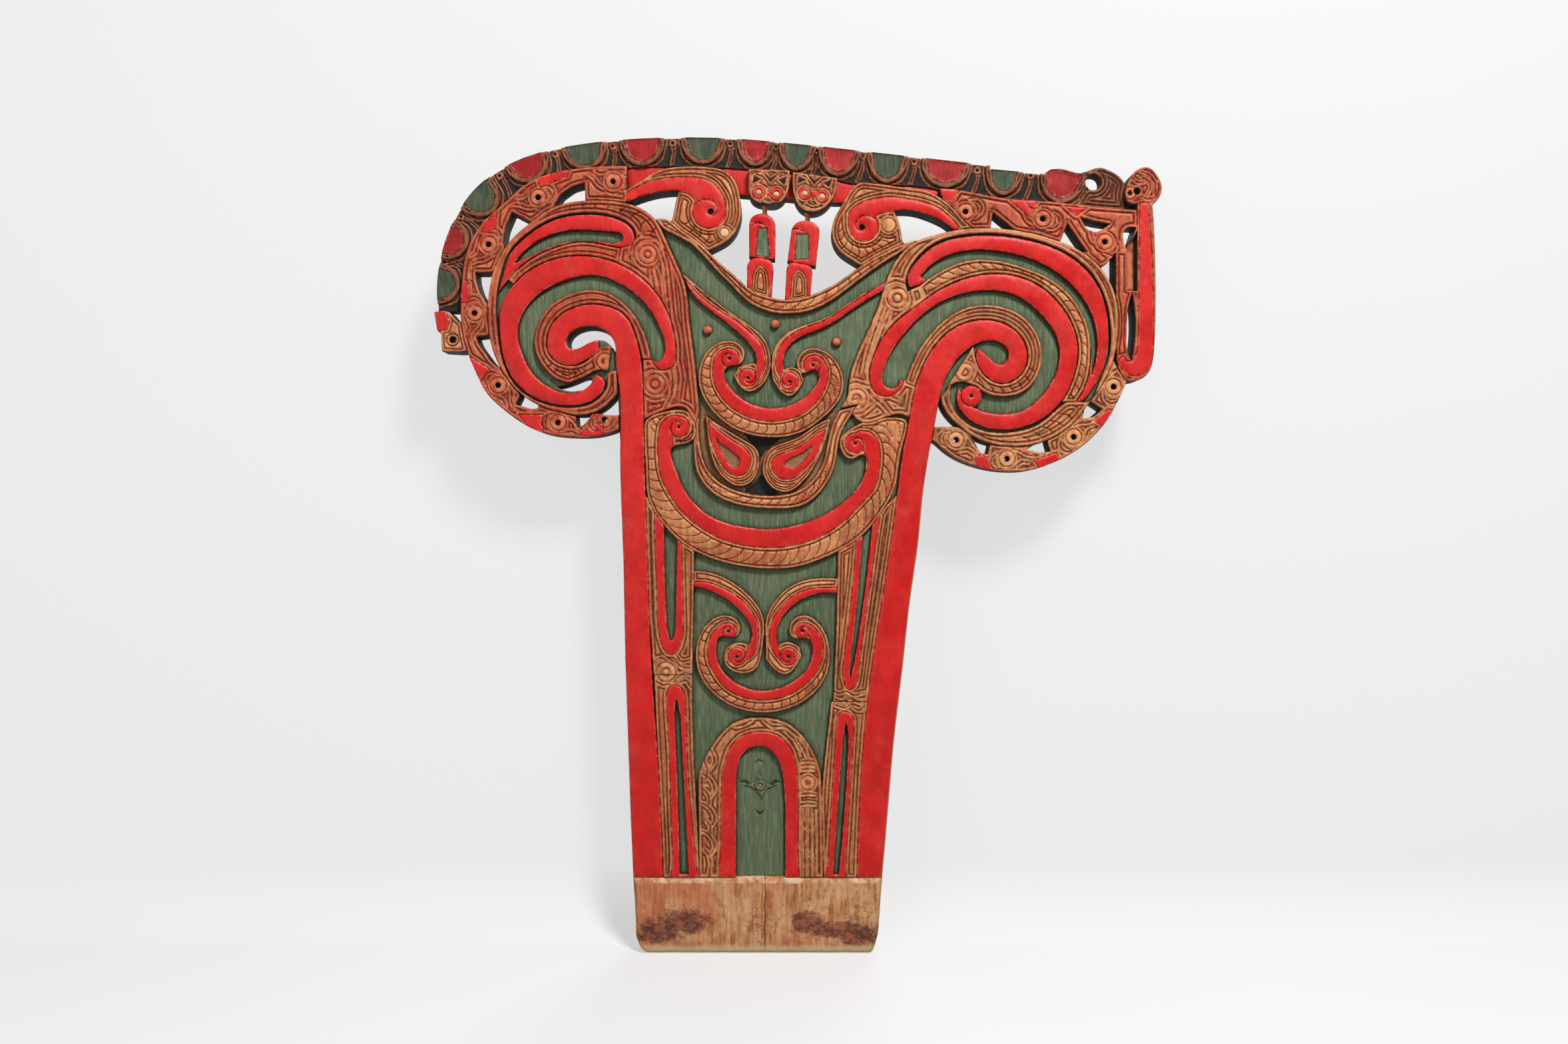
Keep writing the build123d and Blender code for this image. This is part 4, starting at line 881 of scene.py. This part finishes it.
# Horns and crescents, whose red strand curls into a ball at one tip or both: pitch of the strands,
# both sides of the red strand, balls (x, z, radius, way), leaf cells
hooks = {
    "upper_left_horn": (2.2, [
        [(-71, 664), (-59, 649.5), (-46.6, 639), (-34, 630.4), (-22, 623.5), (-10, 614), (-0.7, 605),
         (5.4, 596), (7.5, 585), (6, 575), (1, 566), (-4, 561)],
        [(-4, 561), (-2, 570), (-1, 577), (-3, 582), (-4, 590), (-16, 605), (-37.5, 623), (-60.5, 641),
         (-71, 654), (-77, 660)],
    ], [(-9.5, 567, 9, -1)], []),
    "upper_right_horn": (2.2, [
        [(128, 662), (116, 655), (94, 641), (79, 631), (63.5, 622), (48, 616.6), (33, 609), (25, 602),
         (19, 591.4), (17.5, 579), (20, 570), (26, 560)],
        [(26, 560), (25, 570), (24.5, 577), (28, 587), (36.5, 600), (62, 611.5), (92.5, 630), (128, 652)],
    ], [(31, 563.5, 9, 1)], []),
    "lower_left_horn": (2.4, [
        [(-67, 368), (-50.5, 367.5), (-38, 363.6), (-26, 357.5), (-15.3, 350), (-6, 339), (0, 328.5),
         (1, 318), (0, 306), (-4, 296), (-13, 289.5)],
        [(-13, 289.5), (-11.5, 298), (-9.5, 304), (-11, 307), (-7.5, 318), (-19, 337), (-39, 352),
         (-67, 360)],
    ], [(-20, 294.5, 8.8, -1)], []),
    "lower_right_horn": (2.4, [
        [(84, 362), (62.7, 362), (50.5, 360.6), (38, 356), (27.5, 348), (18.4, 337.6), (13, 327), (11, 316),
         (12.5, 304), (17, 296), (23, 289)],
        [(23, 289), (21, 299), (20, 304), (22.5, 308), (21, 318), (30, 336), (50.5, 350), (84, 353)],
    ], [(29.6, 294.5, 8.8, 1)], []),
    "upper_crescent": (2.6, [
        [(-26, 591), (-27, 595.8), (-36, 593.5), (-42, 587), (-44, 577.6), (-43.5, 565), (-39, 553),
         (-30, 541), (-17.5, 532), (-4, 526.4), (10, 524), (25, 525), (40.6, 529.5), (53, 538), (62, 548.6),
         (67.4, 561), (69, 573), (66, 582), (60.5, 587.6), (54, 588.8), (54, 583)],
        [(54, 583), (57, 577), (58.5, 568.5), (54.5, 560), (39, 546), (17.7, 539), (-10.8, 546), (-28, 563),
         (-31.5, 571), (-33.5, 578), (-32, 584), (-26, 591)],
    ], [(-27.4, 586, 9.5, -1), (54, 579.3, 9.5, 1)], [Cells(12, 578, 64, 9.5, 0.8, 2.6, None, 0.12)]),
    "big_crescent": (2.8, [
        [(-76, 523), (-78.7, 529.8), (-88, 528), (-95, 521), (-97.4, 509), (-97.8, 493.5), (-96.3, 478),
         (-92.5, 464.5), (-86, 452), (-76.5, 438.6), (-66, 428), (-53.5, 418.7), (-38, 410), (-23, 405),
         (-7.6, 402), (7.7, 400.7), (23, 401), (38, 403.4), (53.5, 408), (69, 415.6), (84, 426),
         (99.4, 441.6), (109, 452), (115.5, 461), (119, 478), (119.8, 493.5), (117, 506), (111, 513),
         (102, 515.2), (96, 512.6), (96, 506)],
        [(96, 506), (102, 498), (105, 491), (107, 480), (98, 463), (76, 442), (47, 428), (17, 422),
         (-17, 424), (-47, 435), (-67, 454), (-78.5, 477.5), (-81, 497), (-82.5, 502), (-83, 509),
         (-81, 515), (-76, 523)],
    ], [(-77, 519, 10.5, -1), (95.5, 503, 10, 1)], [
        Cells(10, 512, 121, 11.5, 0.8, 2.7, (-112, 380, 145, 505), 0.06),
        Cells(-77, 519, 20, 7, 0.4, 2.7, (-104, 514, -60, 536)),
        Cells(96, 504, 20, 7, -0.4, 2.7, (84, 506, 140, 530)),
        Cells(-70, 508, 300, 3.4, 0, 1.2, (-80, 500, -64, 508.5)),
    ]),
    "lower_crescent": (2.6, [
        [(-30, 322), (-31, 327.4), (-38, 324), (-44, 318), (-48, 308.6), (-49.7, 298), (-47.4, 287),
         (-41, 275), (-32, 264), (-20, 256.6), (-7.6, 252.8), (4.6, 251.7), (17, 252.8), (29, 256),
         (41, 262.7), (52, 272), (60.4, 284), (64, 296), (63.5, 308.6), (59, 319), (52, 325.6), (45, 327.4),
         (44, 322)],
        [(44, 322), (49, 316), (51.5, 310), (52, 303), (52.3, 296), (48, 285), (41, 276), (29, 269.5),
         (3, 263.5), (-23, 272), (-36.5, 288), (-39, 302), (-37, 310), (-34, 315), (-30, 322)],
    ], [(-28.5, 319.5, 8, -1), (44.3, 319.5, 8, 1)], [Cells(5, 303, 60, 9.5, 0.8, 2.6, None, 0.12)]),
}
for node, (pitch, runs, balls, cells) in hooks.items():
    relief(node, strands(pitch, 1), insets=hooked(curve(*runs), *balls), cells=cells)

# Side loops with a red hairpin each, its slot open to the ground
hairpins = {
    "left_upper_loop": [
        (-99.4, 462), (-98.6, 350), (-97, 320), (-92.5, 302), (-84, 296), (-76, 303), (-72.6, 320),
        (-73, 350), (-74, 400), (-74, 462),
    ],
    "left_lower_loop": [
        (-89.5, 250), (-87.5, 263), (-80.5, 267), (-73, 262), (-70.3, 250), (-68.8, 200), (-65.8, 150),
        (-61, 100), (-60.4, 70), (-83, 70), (-83.3, 100), (-85.3, 150), (-86.4, 200),
    ],
    "right_upper_loop": [
        (97, 462), (95.6, 400), (91, 350), (85, 300), (82.6, 280), (85, 266), (90, 262), (96, 267),
        (98.7, 280), (101, 300), (107.8, 350), (114.7, 400), (121, 462),
    ],
    "right_lower_loop": [
        (76.5, 230), (79, 238), (85, 241), (91, 238), (94, 230), (92.5, 200), (89.5, 150), (86.4, 100),
        (84, 70), (67.3, 70), (68.8, 100), (71.6, 150), (75, 200),
    ],
}
left_knot = bosses("ochre", (-89.5, 279.5, 9.5)) + strokes(
    "ochre", [(-80, 296), (-75, 289), (-66, 291)], [(-79, 289), (-75, 284), (-66, 283)],
    [(-79, 273), (-72, 279), (-64, 277)], [(-78, 268), (-70, 272), (-65, 264)],
    [(-99, 270), (-93, 266), (-86, 268)], [(-99, 291), (-94, 294), (-90, 291)])
right_knot = strokes(
    "ochre", [(72, 262), (79, 258), (86, 261), (94, 256), (104, 259)],
    [(73, 254), (82, 250), (90, 254), (100, 249)],
    [(76, 247), (84, 244), (90, 247)], [(94, 244), (100, 241), (104, 246)], [(86, 255), (88, 250), (84, 246)])
knots = {"left": (left_knot, (-104, 262, -60, 297)), "right": (right_knot, (70, 240, 109, 264))}
for node, line in hairpins.items():
    marks, place = knots[node.split("_")[0]]
    relief(node, strands(3.0, 2), insets=[Inset(curve(line), "red", thin_rib)] + marks, calm=[place])

# Arch and the star in its green panel
arch_red = curve([
    (-36.7, 66), (-36.5, 110), (-36, 150), (-35, 180), (-32, 193), (-27.5, 205), (-18, 215.6), (-7.6, 220),
    (3, 221.5), (14, 220), (23, 215.6), (32, 205), (36.7, 193), (39, 174), (39.8, 150), (39.4, 110),
    (39, 66), (20, 66), (24, 174), (3, 205), (-20, 174), (-16, 66),
])
leaf_cuts = strokes("ochre", *[
    [(-54, z + 8), (-48, z + 5), (-43, z - 2), (-42, z - 9), (-46, z - 15)] for z in (200, 172, 143, 116)],
    [(-52, 192), (-49, 183), (-51, 174)], [(-51, 163), (-47, 157), (-48, 148)],
    [(-50, 134), (-46, 128), (-47, 120)],
    [(-52, 106), (-47, 100), (-46, 90)], [(-47, 88), (-47.5, 72)])
across = ((184, 6), (188, 6), (192, 5), (160, 6), (150, 7))
arch_cuts = strokes("ochre", *[[(49 - w, z), (49, z + 1), (49 + w, z)] for z, w in across],
                    [(46, 78), (46, 146)], [(51, 78), (51, 146)], [(56, 78), (55.5, 140)],
                    [(38, 214), (45, 205), (48, 196)], [(27, 222), (36, 214), (41, 204)],
                    [(-52, 203), (-46, 208), (-40, 219)],
                    [(-22, 226), (-14, 228), (-6, 232)], [(6, 232), (14, 226), (24, 226)])
relief("arch", strands(3.3, 1), insets=[Inset(arch_red, "red", rib)] + bosses("ochre", (49, 171, 7))
       + leaf_cuts + arch_cuts)
carve("panel_star", "green", [(0, -1.4, 1), (0.8, -0.6, 0.5), (1.6, -0.1, 0), (4, 0.2, 0)], side="dark",
      base=relief_back, slot="green_paint",
      insets=[dot(2.5, 168, 5.4, "green", ring), dot(2.5, 168, 2.4, "core", knob)])

# Teardrops and the throat
relief("left_teardrop", strands(2.3, 2), whole=True, insets=[
    Inset(curve(
        [(-48, 525.6), (-37.4, 515), (-25, 506), (-14.5, 499.6), (-7.6, 492), (-6.8, 483), (-11.4, 473.6),
         (-19, 470.6), (-28, 473.6), (-36, 483), (-42, 495), (-46.6, 509), (-48, 525.6)], [(-48, 525.6)],
    ), "red", thin_rib),
    Inset(curve([(-41, 508), (-36.6, 503), (-25, 495), (-18, 488), (-19, 481), (-25, 480), (-33, 490.5)]),
          "core", sunk),
])
relief("right_teardrop", strands(2.3, 2), whole=True, insets=[
    Inset(curve(
        [(66, 516.5), (62, 502.7), (54.4, 487.4), (45, 476.7), (36, 469), (25, 467.5), (17, 472), (13, 481),
         (16, 489), (25, 493.5), (37.5, 498), (48, 504), (57.4, 512), (66, 516.5)], [(66, 516.5)],
    ), "red", thin_rib),
    Inset(curve([(26, 482), (33, 488.5), (44, 493.5), (53, 500), (47, 488), (38, 480)]), "core", sunk),
])
relief("throat_band", strands(3.1, 1), cells=[Cells(8, 505, 60, 10, 0.9, 2.9, (-60, 430, 90, 475), 0.1)])
relief("ground_studs", knob, "ruddy")

# Openwork rims: bird heads round ringed eyes, red fills at the outer edge
eyes_left = [(-149.5, 526), (-195, 523), (-253.5, 559.5), (-276.5, 630), (-262.8, 697), (-214.5, 743),
             (-141, 758.5)]
eyes_high = [(203, 729), (278.5, 722), (339, 699.5)]
eyes_low = [(347.5, 558), (308.5, 509), (243.5, 487.6), (193.7, 506)]
fills_left = [
    [(-255, 728.6), (-257, 708), (-271, 709.5), (-266.5, 718.6)],
    [(-291, 656), (-282.6, 659), (-281, 641), (-291, 640)],
    [(-285, 590), (-262, 575), (-270, 564)],
    [(-234, 531), (-210, 531), (-210, 513), (-222, 516)],
    [(-176, 510), (-157.6, 522.5), (-151, 522.5), (-151, 510)],
    [(-213, 753), (-186, 764), (-184, 771), (-216, 763)],
]
fills_high = [
    [(168, 754), (198, 751), (192, 743), (190, 736.5)],
    [(244, 743), (273.7, 741), (269.8, 730), (265, 724.6)],
    [(300, 735), (322, 733), (311, 725)],
]
fills_low = [
    [(338, 519), (328, 525), (342, 536), (350, 535)],
    [(276, 478), (270, 486), (292, 494), (296, 486)],
    [(215, 478), (212, 492), (224, 490), (232, 475)],
]
beak = [[(-8, 7), (-14, 4), (-17, -2), (-14, -8), (-8, -9)], [(-12, 3), (-13, -2), (-11, -6)],
        [(8, 8), (14, 6), (19, 1), (24, -1)], [(9, -8), (14, -5), (20, -7)]]
for node, look, eyes, fills, middle in (("left_rim", "ruddy", eyes_left, fills_left, (-172, 622)),
                                        ("right_upper_rim", "ruddy", eyes_high, fills_high, (225, 600)),
                                        ("right_lower_rim", "ochre", eyes_low, fills_low, (225, 600))):
    cuts = []
    for x, z in eyes:
        lean = math.degrees(math.atan2(z - middle[1], x - middle[0])) + 90
        cuts.append(dot(x, z, 7.8, look, eye))
        cuts += strokes(look, *[placed(line, x, z, lean) for line in beak])
    carve(node, look, strands(3.4, 1), corner=75, lumps=[(x, z, 15, 1.6) for x, z in eyes], calm=rim_ends,
          insets=[Inset(straight(f), "red", flat_face) for f in fills] + cuts)

# Rail and inner scrolls
carve("top_rail", "red", thin_rib, slot="red_paint", base=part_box("top_rail")[1][1] / mm - 0.3)
carve("left_inner_scroll", "ochre", strands(3.0, 2), corner=60, calm=rim_ends, insets=hooked(curve(
    [(-134, 744), (-121, 752), (-106, 759), (-90, 762), (-77, 763), (-57.6, 762.6), (-44.7, 758), (-37, 750),
     (-32, 740), (-31, 731)],
    [(-31, 731), (-50, 731), (-60, 738), (-66, 745), (-77, 748.5), (-90, 747), (-106, 744), (-121, 738),
     (-134, 733)],
), (-47.5, 729, 16.3, -1)) + [dot(-32.5, 708.5, 4.5, "pale", ring)],
      cells=[Cells(-46, 731, 30, 10, 0.7, 3.1, (-86, 688, -38, 722), 0.1)])
carve("right_inner_scroll", "ochre", strands(3.0, 2), corner=60, insets=hooked(curve(
    [(88.6, 727), (96, 735), (108, 740.6), (119.7, 743), (130, 744), (146, 742), (162, 739), (177.6, 732.5),
     (190, 722), (197, 714)],
    [(197, 714), (191, 710), (182, 717), (171, 722), (158.6, 726), (146, 728.5), (130, 729), (119.7, 727),
     (112, 722), (104, 714), (90, 714), (88.6, 727)],
), (103.5, 714.5, 14.5, 1)) + [dot(128, 716, 7, "ochre", ring)],
      cells=[Cells(104, 714, 30, 9, 0.7, 3.1, (78, 676, 142, 712), 0.1)])

# Figures: two plain masks on short necks, each over a body and legs
masks = {
    "left": ([(0.9, 748), (18.2, 746)], [(5.5, 767.5), (12.2, 758), (19.5, 765.5), (12.4, 761)],
             [(-5, 757), (3, 761), (-4, 764)], [(26, 756), (20, 760), (28, 763)],
             [(3, 738.5), (11, 735.8), (20, 737.5)], [(9.3, 744), (11, 752), (12.4, 744)],
             [(0.6, 714), (9, 714), (11.6, 685.6), (-2, 687)],
             [(-5, 636), (-5, 664), (-2, 673), (2.5, 676.5), (7, 673), (10, 664), (9, 636)]),
    "right": ([(46, 746.8), (62.8, 743.8)], [(48, 766), (55, 756), (63, 764), (55.4, 759)],
              [(39, 757), (47, 760), (40, 763)], [(70, 753), (64, 757), (72, 760)],
              [(46, 735.5), (54, 732.5), (63, 734.5)], [(50, 750), (54, 741), (59, 750)],
              [(38, 708), (50, 708), (50, 684), (36, 683)],
              [(33, 632), (33, 660), (36, 669), (40.5, 672.5), (45, 669), (48, 660), (46, 632)]),
}
for side, (spots, brow, near_mark, far_mark, mouth, nose, chest, lap) in masks.items():
    # brow, side marks and mouth are narrow cuts painted near-black: painted shade
    insets = [Inset(straight(m), "dark", scratch) for m in (brow, near_mark, far_mark)]
    insets += [Inset(straight(nose), "red", thin_rib),
               Inset(curve(mouth, [(x, z + 1.0) for x, z in mouth[::-1]]), "dark", scratch)]
    for x, z in spots:
        insets += [dot(x, z, 6.4, "red", ring), dot(x, z, 3.2, "pale", knob, 0.8)]
    carve(side + "_figure_head", "ochre", strands(2.6, 1), front=board_front, insets=insets, whole=True,
          lumps=[(x, z, 8, 1.1) for x, z in spots], corner=70)
    carve(side + "_figure_body", "red", rib, corner=70, insets=[
        Inset(straight(chest), "green", sunk, 1.0),
        stroke(*placed([(-7, 2), (-4, 5), (2, 5.5), (6, 3)], *chest[0], 0), look="red")])
    carve(side + "_figure_legs", "red", rib, insets=[Inset(curve(lap), "ochre", strands(2.4, 2))], corner=70)


def neck(name, x, low, high):
    """A short waisted neck between head and body."""
    x, y, middle = x * mm, -1.5 * mm, (0.5 * (low + high) - drawn_foot) * mm
    bpy.ops.object.select_all(action="DESELECT")
    bpy.ops.mesh.primitive_cylinder_add(vertices=24, radius=3.2 * mm, depth=(high - low) * mm,
                                        location=(x, y, middle))
    piece = bpy.context.active_object
    piece.name = name
    bpy.ops.object.mode_set(mode="EDIT")
    bpy.ops.mesh.select_all(action="SELECT")
    bpy.ops.transform.resize(value=(1, 1.4, 1), center_override=(x, y, middle))
    bpy.ops.mesh.bisect(plane_co=(x, 0, middle), plane_no=(0, 0, 1))
    bpy.ops.transform.resize(value=(0.72, 0.85, 1), center_override=(x, y, middle))
    bpy.ops.object.mode_set(mode="OBJECT")
    bpy.ops.object.transform_apply(location=True, rotation=True, scale=True)
    bpy.ops.object.shade_smooth_by_angle(angle=math.radians(40))
    for label, value in (("cut_grime_and_shade", 0.0), ("rim", 2.0), ("tone", 0.2)):
        attribute(piece.data, label, np.full(len(piece.data.vertices), value))
    piece.data.materials.append(finish["ochre"])
    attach(piece, "root")


neck("left_neck", 6.8, 725, 739)
neck("right_neck", 49, 717, 731)

# Finials
carve("left_finial", "ochre", strands(2.6, 1), insets=[
    Inset(straight([(-319, 634), (-315, 611), (-303, 614), (-301, 622), (-306, 635)]), "red", flat_face)])
carve("right_finial", "ruddy", strands(2.8, 1), calm=rim_ends, insets=[
    Inset(curve(
        [(373.5, 738), (373, 700), (372.6, 672), (372.4, 640), (371.5, 602), (368.5, 588), (362, 583),
         (357, 588), (352, 582), (358, 573), (368, 568.5), (378, 572), (385, 580), (386.4, 593),
         (386.6, 640), (385, 690), (381.5, 738)],
        [(381.5, 738), (373.5, 738)],
    ), "red", thin_rib),
    # the eye's pit is painted near-black as painted shade
    dot(363.5, 747, 6, "ruddy", ring), dot(363.5, 747, 2.2, "dark", pit),
] + strokes("ruddy", [(374, 768), (383, 765), (389, 756), (388, 747)],
            [(376, 762), (382, 759), (384, 752), (380, 745)],
            [(366, 762), (371, 757), (377, 757)], [(374, 744), (380, 741), (386, 742)]),
      lumps=[(370.5, 749, 12, 1.0)])
carve("right_finial", "ruddy", rounded, front=web_front)

# Frieze: hanging scallops in red and green by turns, with a small bird between each two
scallops = [
    (-314, 660, 19, 22, 88), (-305, 704, 19, 22, 70), (-278, 750, 20, 28, 45), (-228, 783, 21, 25, 20),
    (-171, 796, 21, 25, 8), (-114, 801, 21, 26, 3), (-54, 802.5, 20, 26, -1), (-2, 800.5, 17, 26, -3),
    (39, 797, 17, 27, -5), (80, 792.5, 19, 28, -6), (128, 787, 19, 29, -6), (185, 780.5, 23, 27, -7),
    (242, 772, 17, 26, -5), (300, 766, 21, 28, -12),
]


def bowl(x, z, half, depth, lean, grow):
    half, depth = half + grow, depth + grow
    return curve(placed([(-half, 6), (-half * 0.97, -depth * 0.3), (-half * 0.72, -depth * 0.76), (0, -depth),
                         (half * 0.72, -depth * 0.76), (half * 0.97, -depth * 0.3), (half, 6)], x, z, lean))


bird = [(-3.4, 3), (-4.4, -3), (-2.8, -8), (-1.4, -12), (-2.2, -18), (-4.5, -26), (-7, -34), (-2, -34),
        (0.6, -26), (2.4, -18), (3.2, -10), (4.2, -4), (3.4, 3)]
trims = [Inset(bowl(*s, 3.6), "brown", strands(3.0, 1)) for s in scallops]
for a, b in zip(scallops, scallops[1:]):
    ends = [(s[0] + t * s[2] * math.cos(math.radians(s[4])), s[1] + t * s[2] * math.sin(math.radians(s[4])))
            for s, t in ((a, 1), (b, -1))]
    x, z, lean = (ends[0][0] + ends[1][0]) / 2, (ends[0][1] + ends[1][1]) / 2, (a[4] + b[4]) / 2
    trims.append(Inset(curve(placed(bird, x, z, lean)), "brown", strands(2.2, 1)))
    head = placed([(-0.5, -4)], x, z, lean)[0]
    # each bird's eye pit is painted near-black as painted shade
    trims += [dot(*head, 4.6, "brown", eye), dot(*head, 1.2, "dark", pit)]
end_curl = [(314, 800), (318, 776), (328, 757), (318, 746), (306, 738), (330, 722), (366, 724), (374, 760),
            (362, 795)]
trims.append(Inset(straight(end_curl), "brown", strands(3.6, 3)))
# The frieze's ground between the trims is near-black: painted shade.
carve("scallop_frieze", "dark", [(0, -0.5, 0), (1, -1.5, 0), (3, -2.2, 0)], insets=trims, side="side_dark")
fills = [Inset(bowl(*s, -5.0), "darker_red" if k % 2 else "darker_green", sunk, 1.4)
         for k, s in enumerate(scallops)]
carve("frieze_scallops", "brown", strands(3.0, 1), insets=fills, base=-6.4, slot="red_paint")

# Pale floor and wall, one sheet with a curved foot. It is seen only from its front, and it casts no light.
room, wall_at, curved_foot = 6, 0.075, 0.07
far_edge = room / 2 - 0.1
stage = bpy.data.materials.new("pale_paper")
stage.use_nodes = True
tree = stage.node_tree
shader = tree.nodes["Principled BSDF"]
shader.inputs["Roughness"].default_value = 0.95
shader.inputs["Specular IOR Level"].default_value = 0.0
paper = add(tree, "Mix", {0: noise(tree, 3, 3, 0.5), 6: (0.86, 0.86, 0.86, 1), 7: (0.885, 0.885, 0.885, 1)},
            data_type="RGBA").outputs[2]
tree.links.new(paper, shader.inputs["Base Color"])
glow = add(tree, "Emission", {"Color": (0.86, 0.86, 0.865, 1), "Strength": 1.0}).outputs[0]
_, _, height = axes(tree)
share = add(tree, "MapRange", {0: height, 1: 0.0, 2: curved_foot, 3: 0.5, 4: 0.78}).outputs[0]
sheet = add(tree, "MixShader", {0: share, 1: shader.outputs[0], 2: glow}).outputs[0]
path = add(tree, "LightPath").outputs
faced = minus(tree, 1.0, add(tree, "NewGeometry").outputs["Backfacing"])
mirrored = calc(tree, "MAXIMUM", path["Is Glossy Ray"], path["Is Transmission Ray"])
seen = calc(tree, "MAXIMUM", path["Is Camera Ray"], mirrored)
clear = add(tree, "BsdfTransparent").outputs[0]
mixed = add(tree, "MixShader", {0: times(tree, faced, seen), 1: clear, 2: sheet})
tree.links.new(mixed.outputs[0], tree.nodes["Material Output"].inputs["Surface"])
bpy.ops.object.select_all(action="DESELECT")
bpy.ops.mesh.primitive_plane_add(size=room, location=(0, wall_at - room / 2, 0))
floor = bpy.context.active_object
floor.name = "floor_and_wall"
bpy.ops.object.mode_set(mode="EDIT")
bpy.ops.mesh.select_mode(type="EDGE")
bpy.ops.mesh.select_all(action="DESELECT")
bpy.ops.object.mode_set(mode="OBJECT")
for edge in floor.data.edges:
    edge.select = all(floor.data.vertices[i].co.y > far_edge for i in edge.vertices)
bpy.ops.object.mode_set(mode="EDIT")
bpy.ops.mesh.extrude_region_move(TRANSFORM_OT_translate={"value": (0, 0, room / 2)})
bpy.ops.mesh.select_all(action="DESELECT")
bpy.ops.object.mode_set(mode="OBJECT")
for edge in floor.data.edges:
    ends = [floor.data.vertices[i].co for i in edge.vertices]
    edge.select = all(co.y > far_edge and co.z < 0.01 for co in ends)
bpy.ops.object.mode_set(mode="EDIT")
bpy.ops.mesh.bevel(offset=curved_foot, segments=12)
bpy.ops.mesh.select_all(action="SELECT")
bpy.ops.object.mode_set(mode="OBJECT")
bpy.ops.object.transform_apply(location=True, rotation=True, scale=True)
bpy.ops.object.shade_smooth()
floor.data.materials.append(stage)


def lamp(name, place, aim, width, power):
    bpy.ops.object.light_add(type="AREA", location=place)
    light = bpy.context.active_object
    light.name = name
    light.data.shape = "DISK"
    light.data.size, light.data.energy = width, power
    light.rotation_mode = "QUATERNION"
    light.rotation_quaternion = (Vector(aim) - Vector(place)).to_track_quat("-Z", "Y")


lamp("key", (0.7, -1.4, 2.05), (0, 0, 0.45), 0.5, 50)
lamp("fill", (-1.3, -1.9, 0.7), (0, 0, 0.35), 1.6, 10)
lamp("rear", (0.6, 2.2, 1.4), (0, 0, 0.4), 1.5, 26)
world = bpy.data.worlds.new("soft_room")
bpy.context.scene.world = world
world.use_nodes = True
world.node_tree.nodes["Background"].inputs[0].default_value = (1, 1, 1, 1)
world.node_tree.nodes["Background"].inputs[1].default_value = 0.27

# Camera straight in front, as in the photograph: its distance from the board, and the width it sees there
distance, seen_width, sensor = 1.25, 1.53075, 36
bpy.ops.object.camera_add(location=(0.0257, -distance + board_front * mm, 0.422),
                          rotation=(math.pi / 2, 0, 0))
camera = bpy.context.active_object
camera.data.sensor_width = sensor
camera.data.lens = sensor * distance / seen_width
camera.data.clip_end = 50
scene = bpy.context.scene
scene.camera = camera
scene.view_settings.view_transform = "Standard"
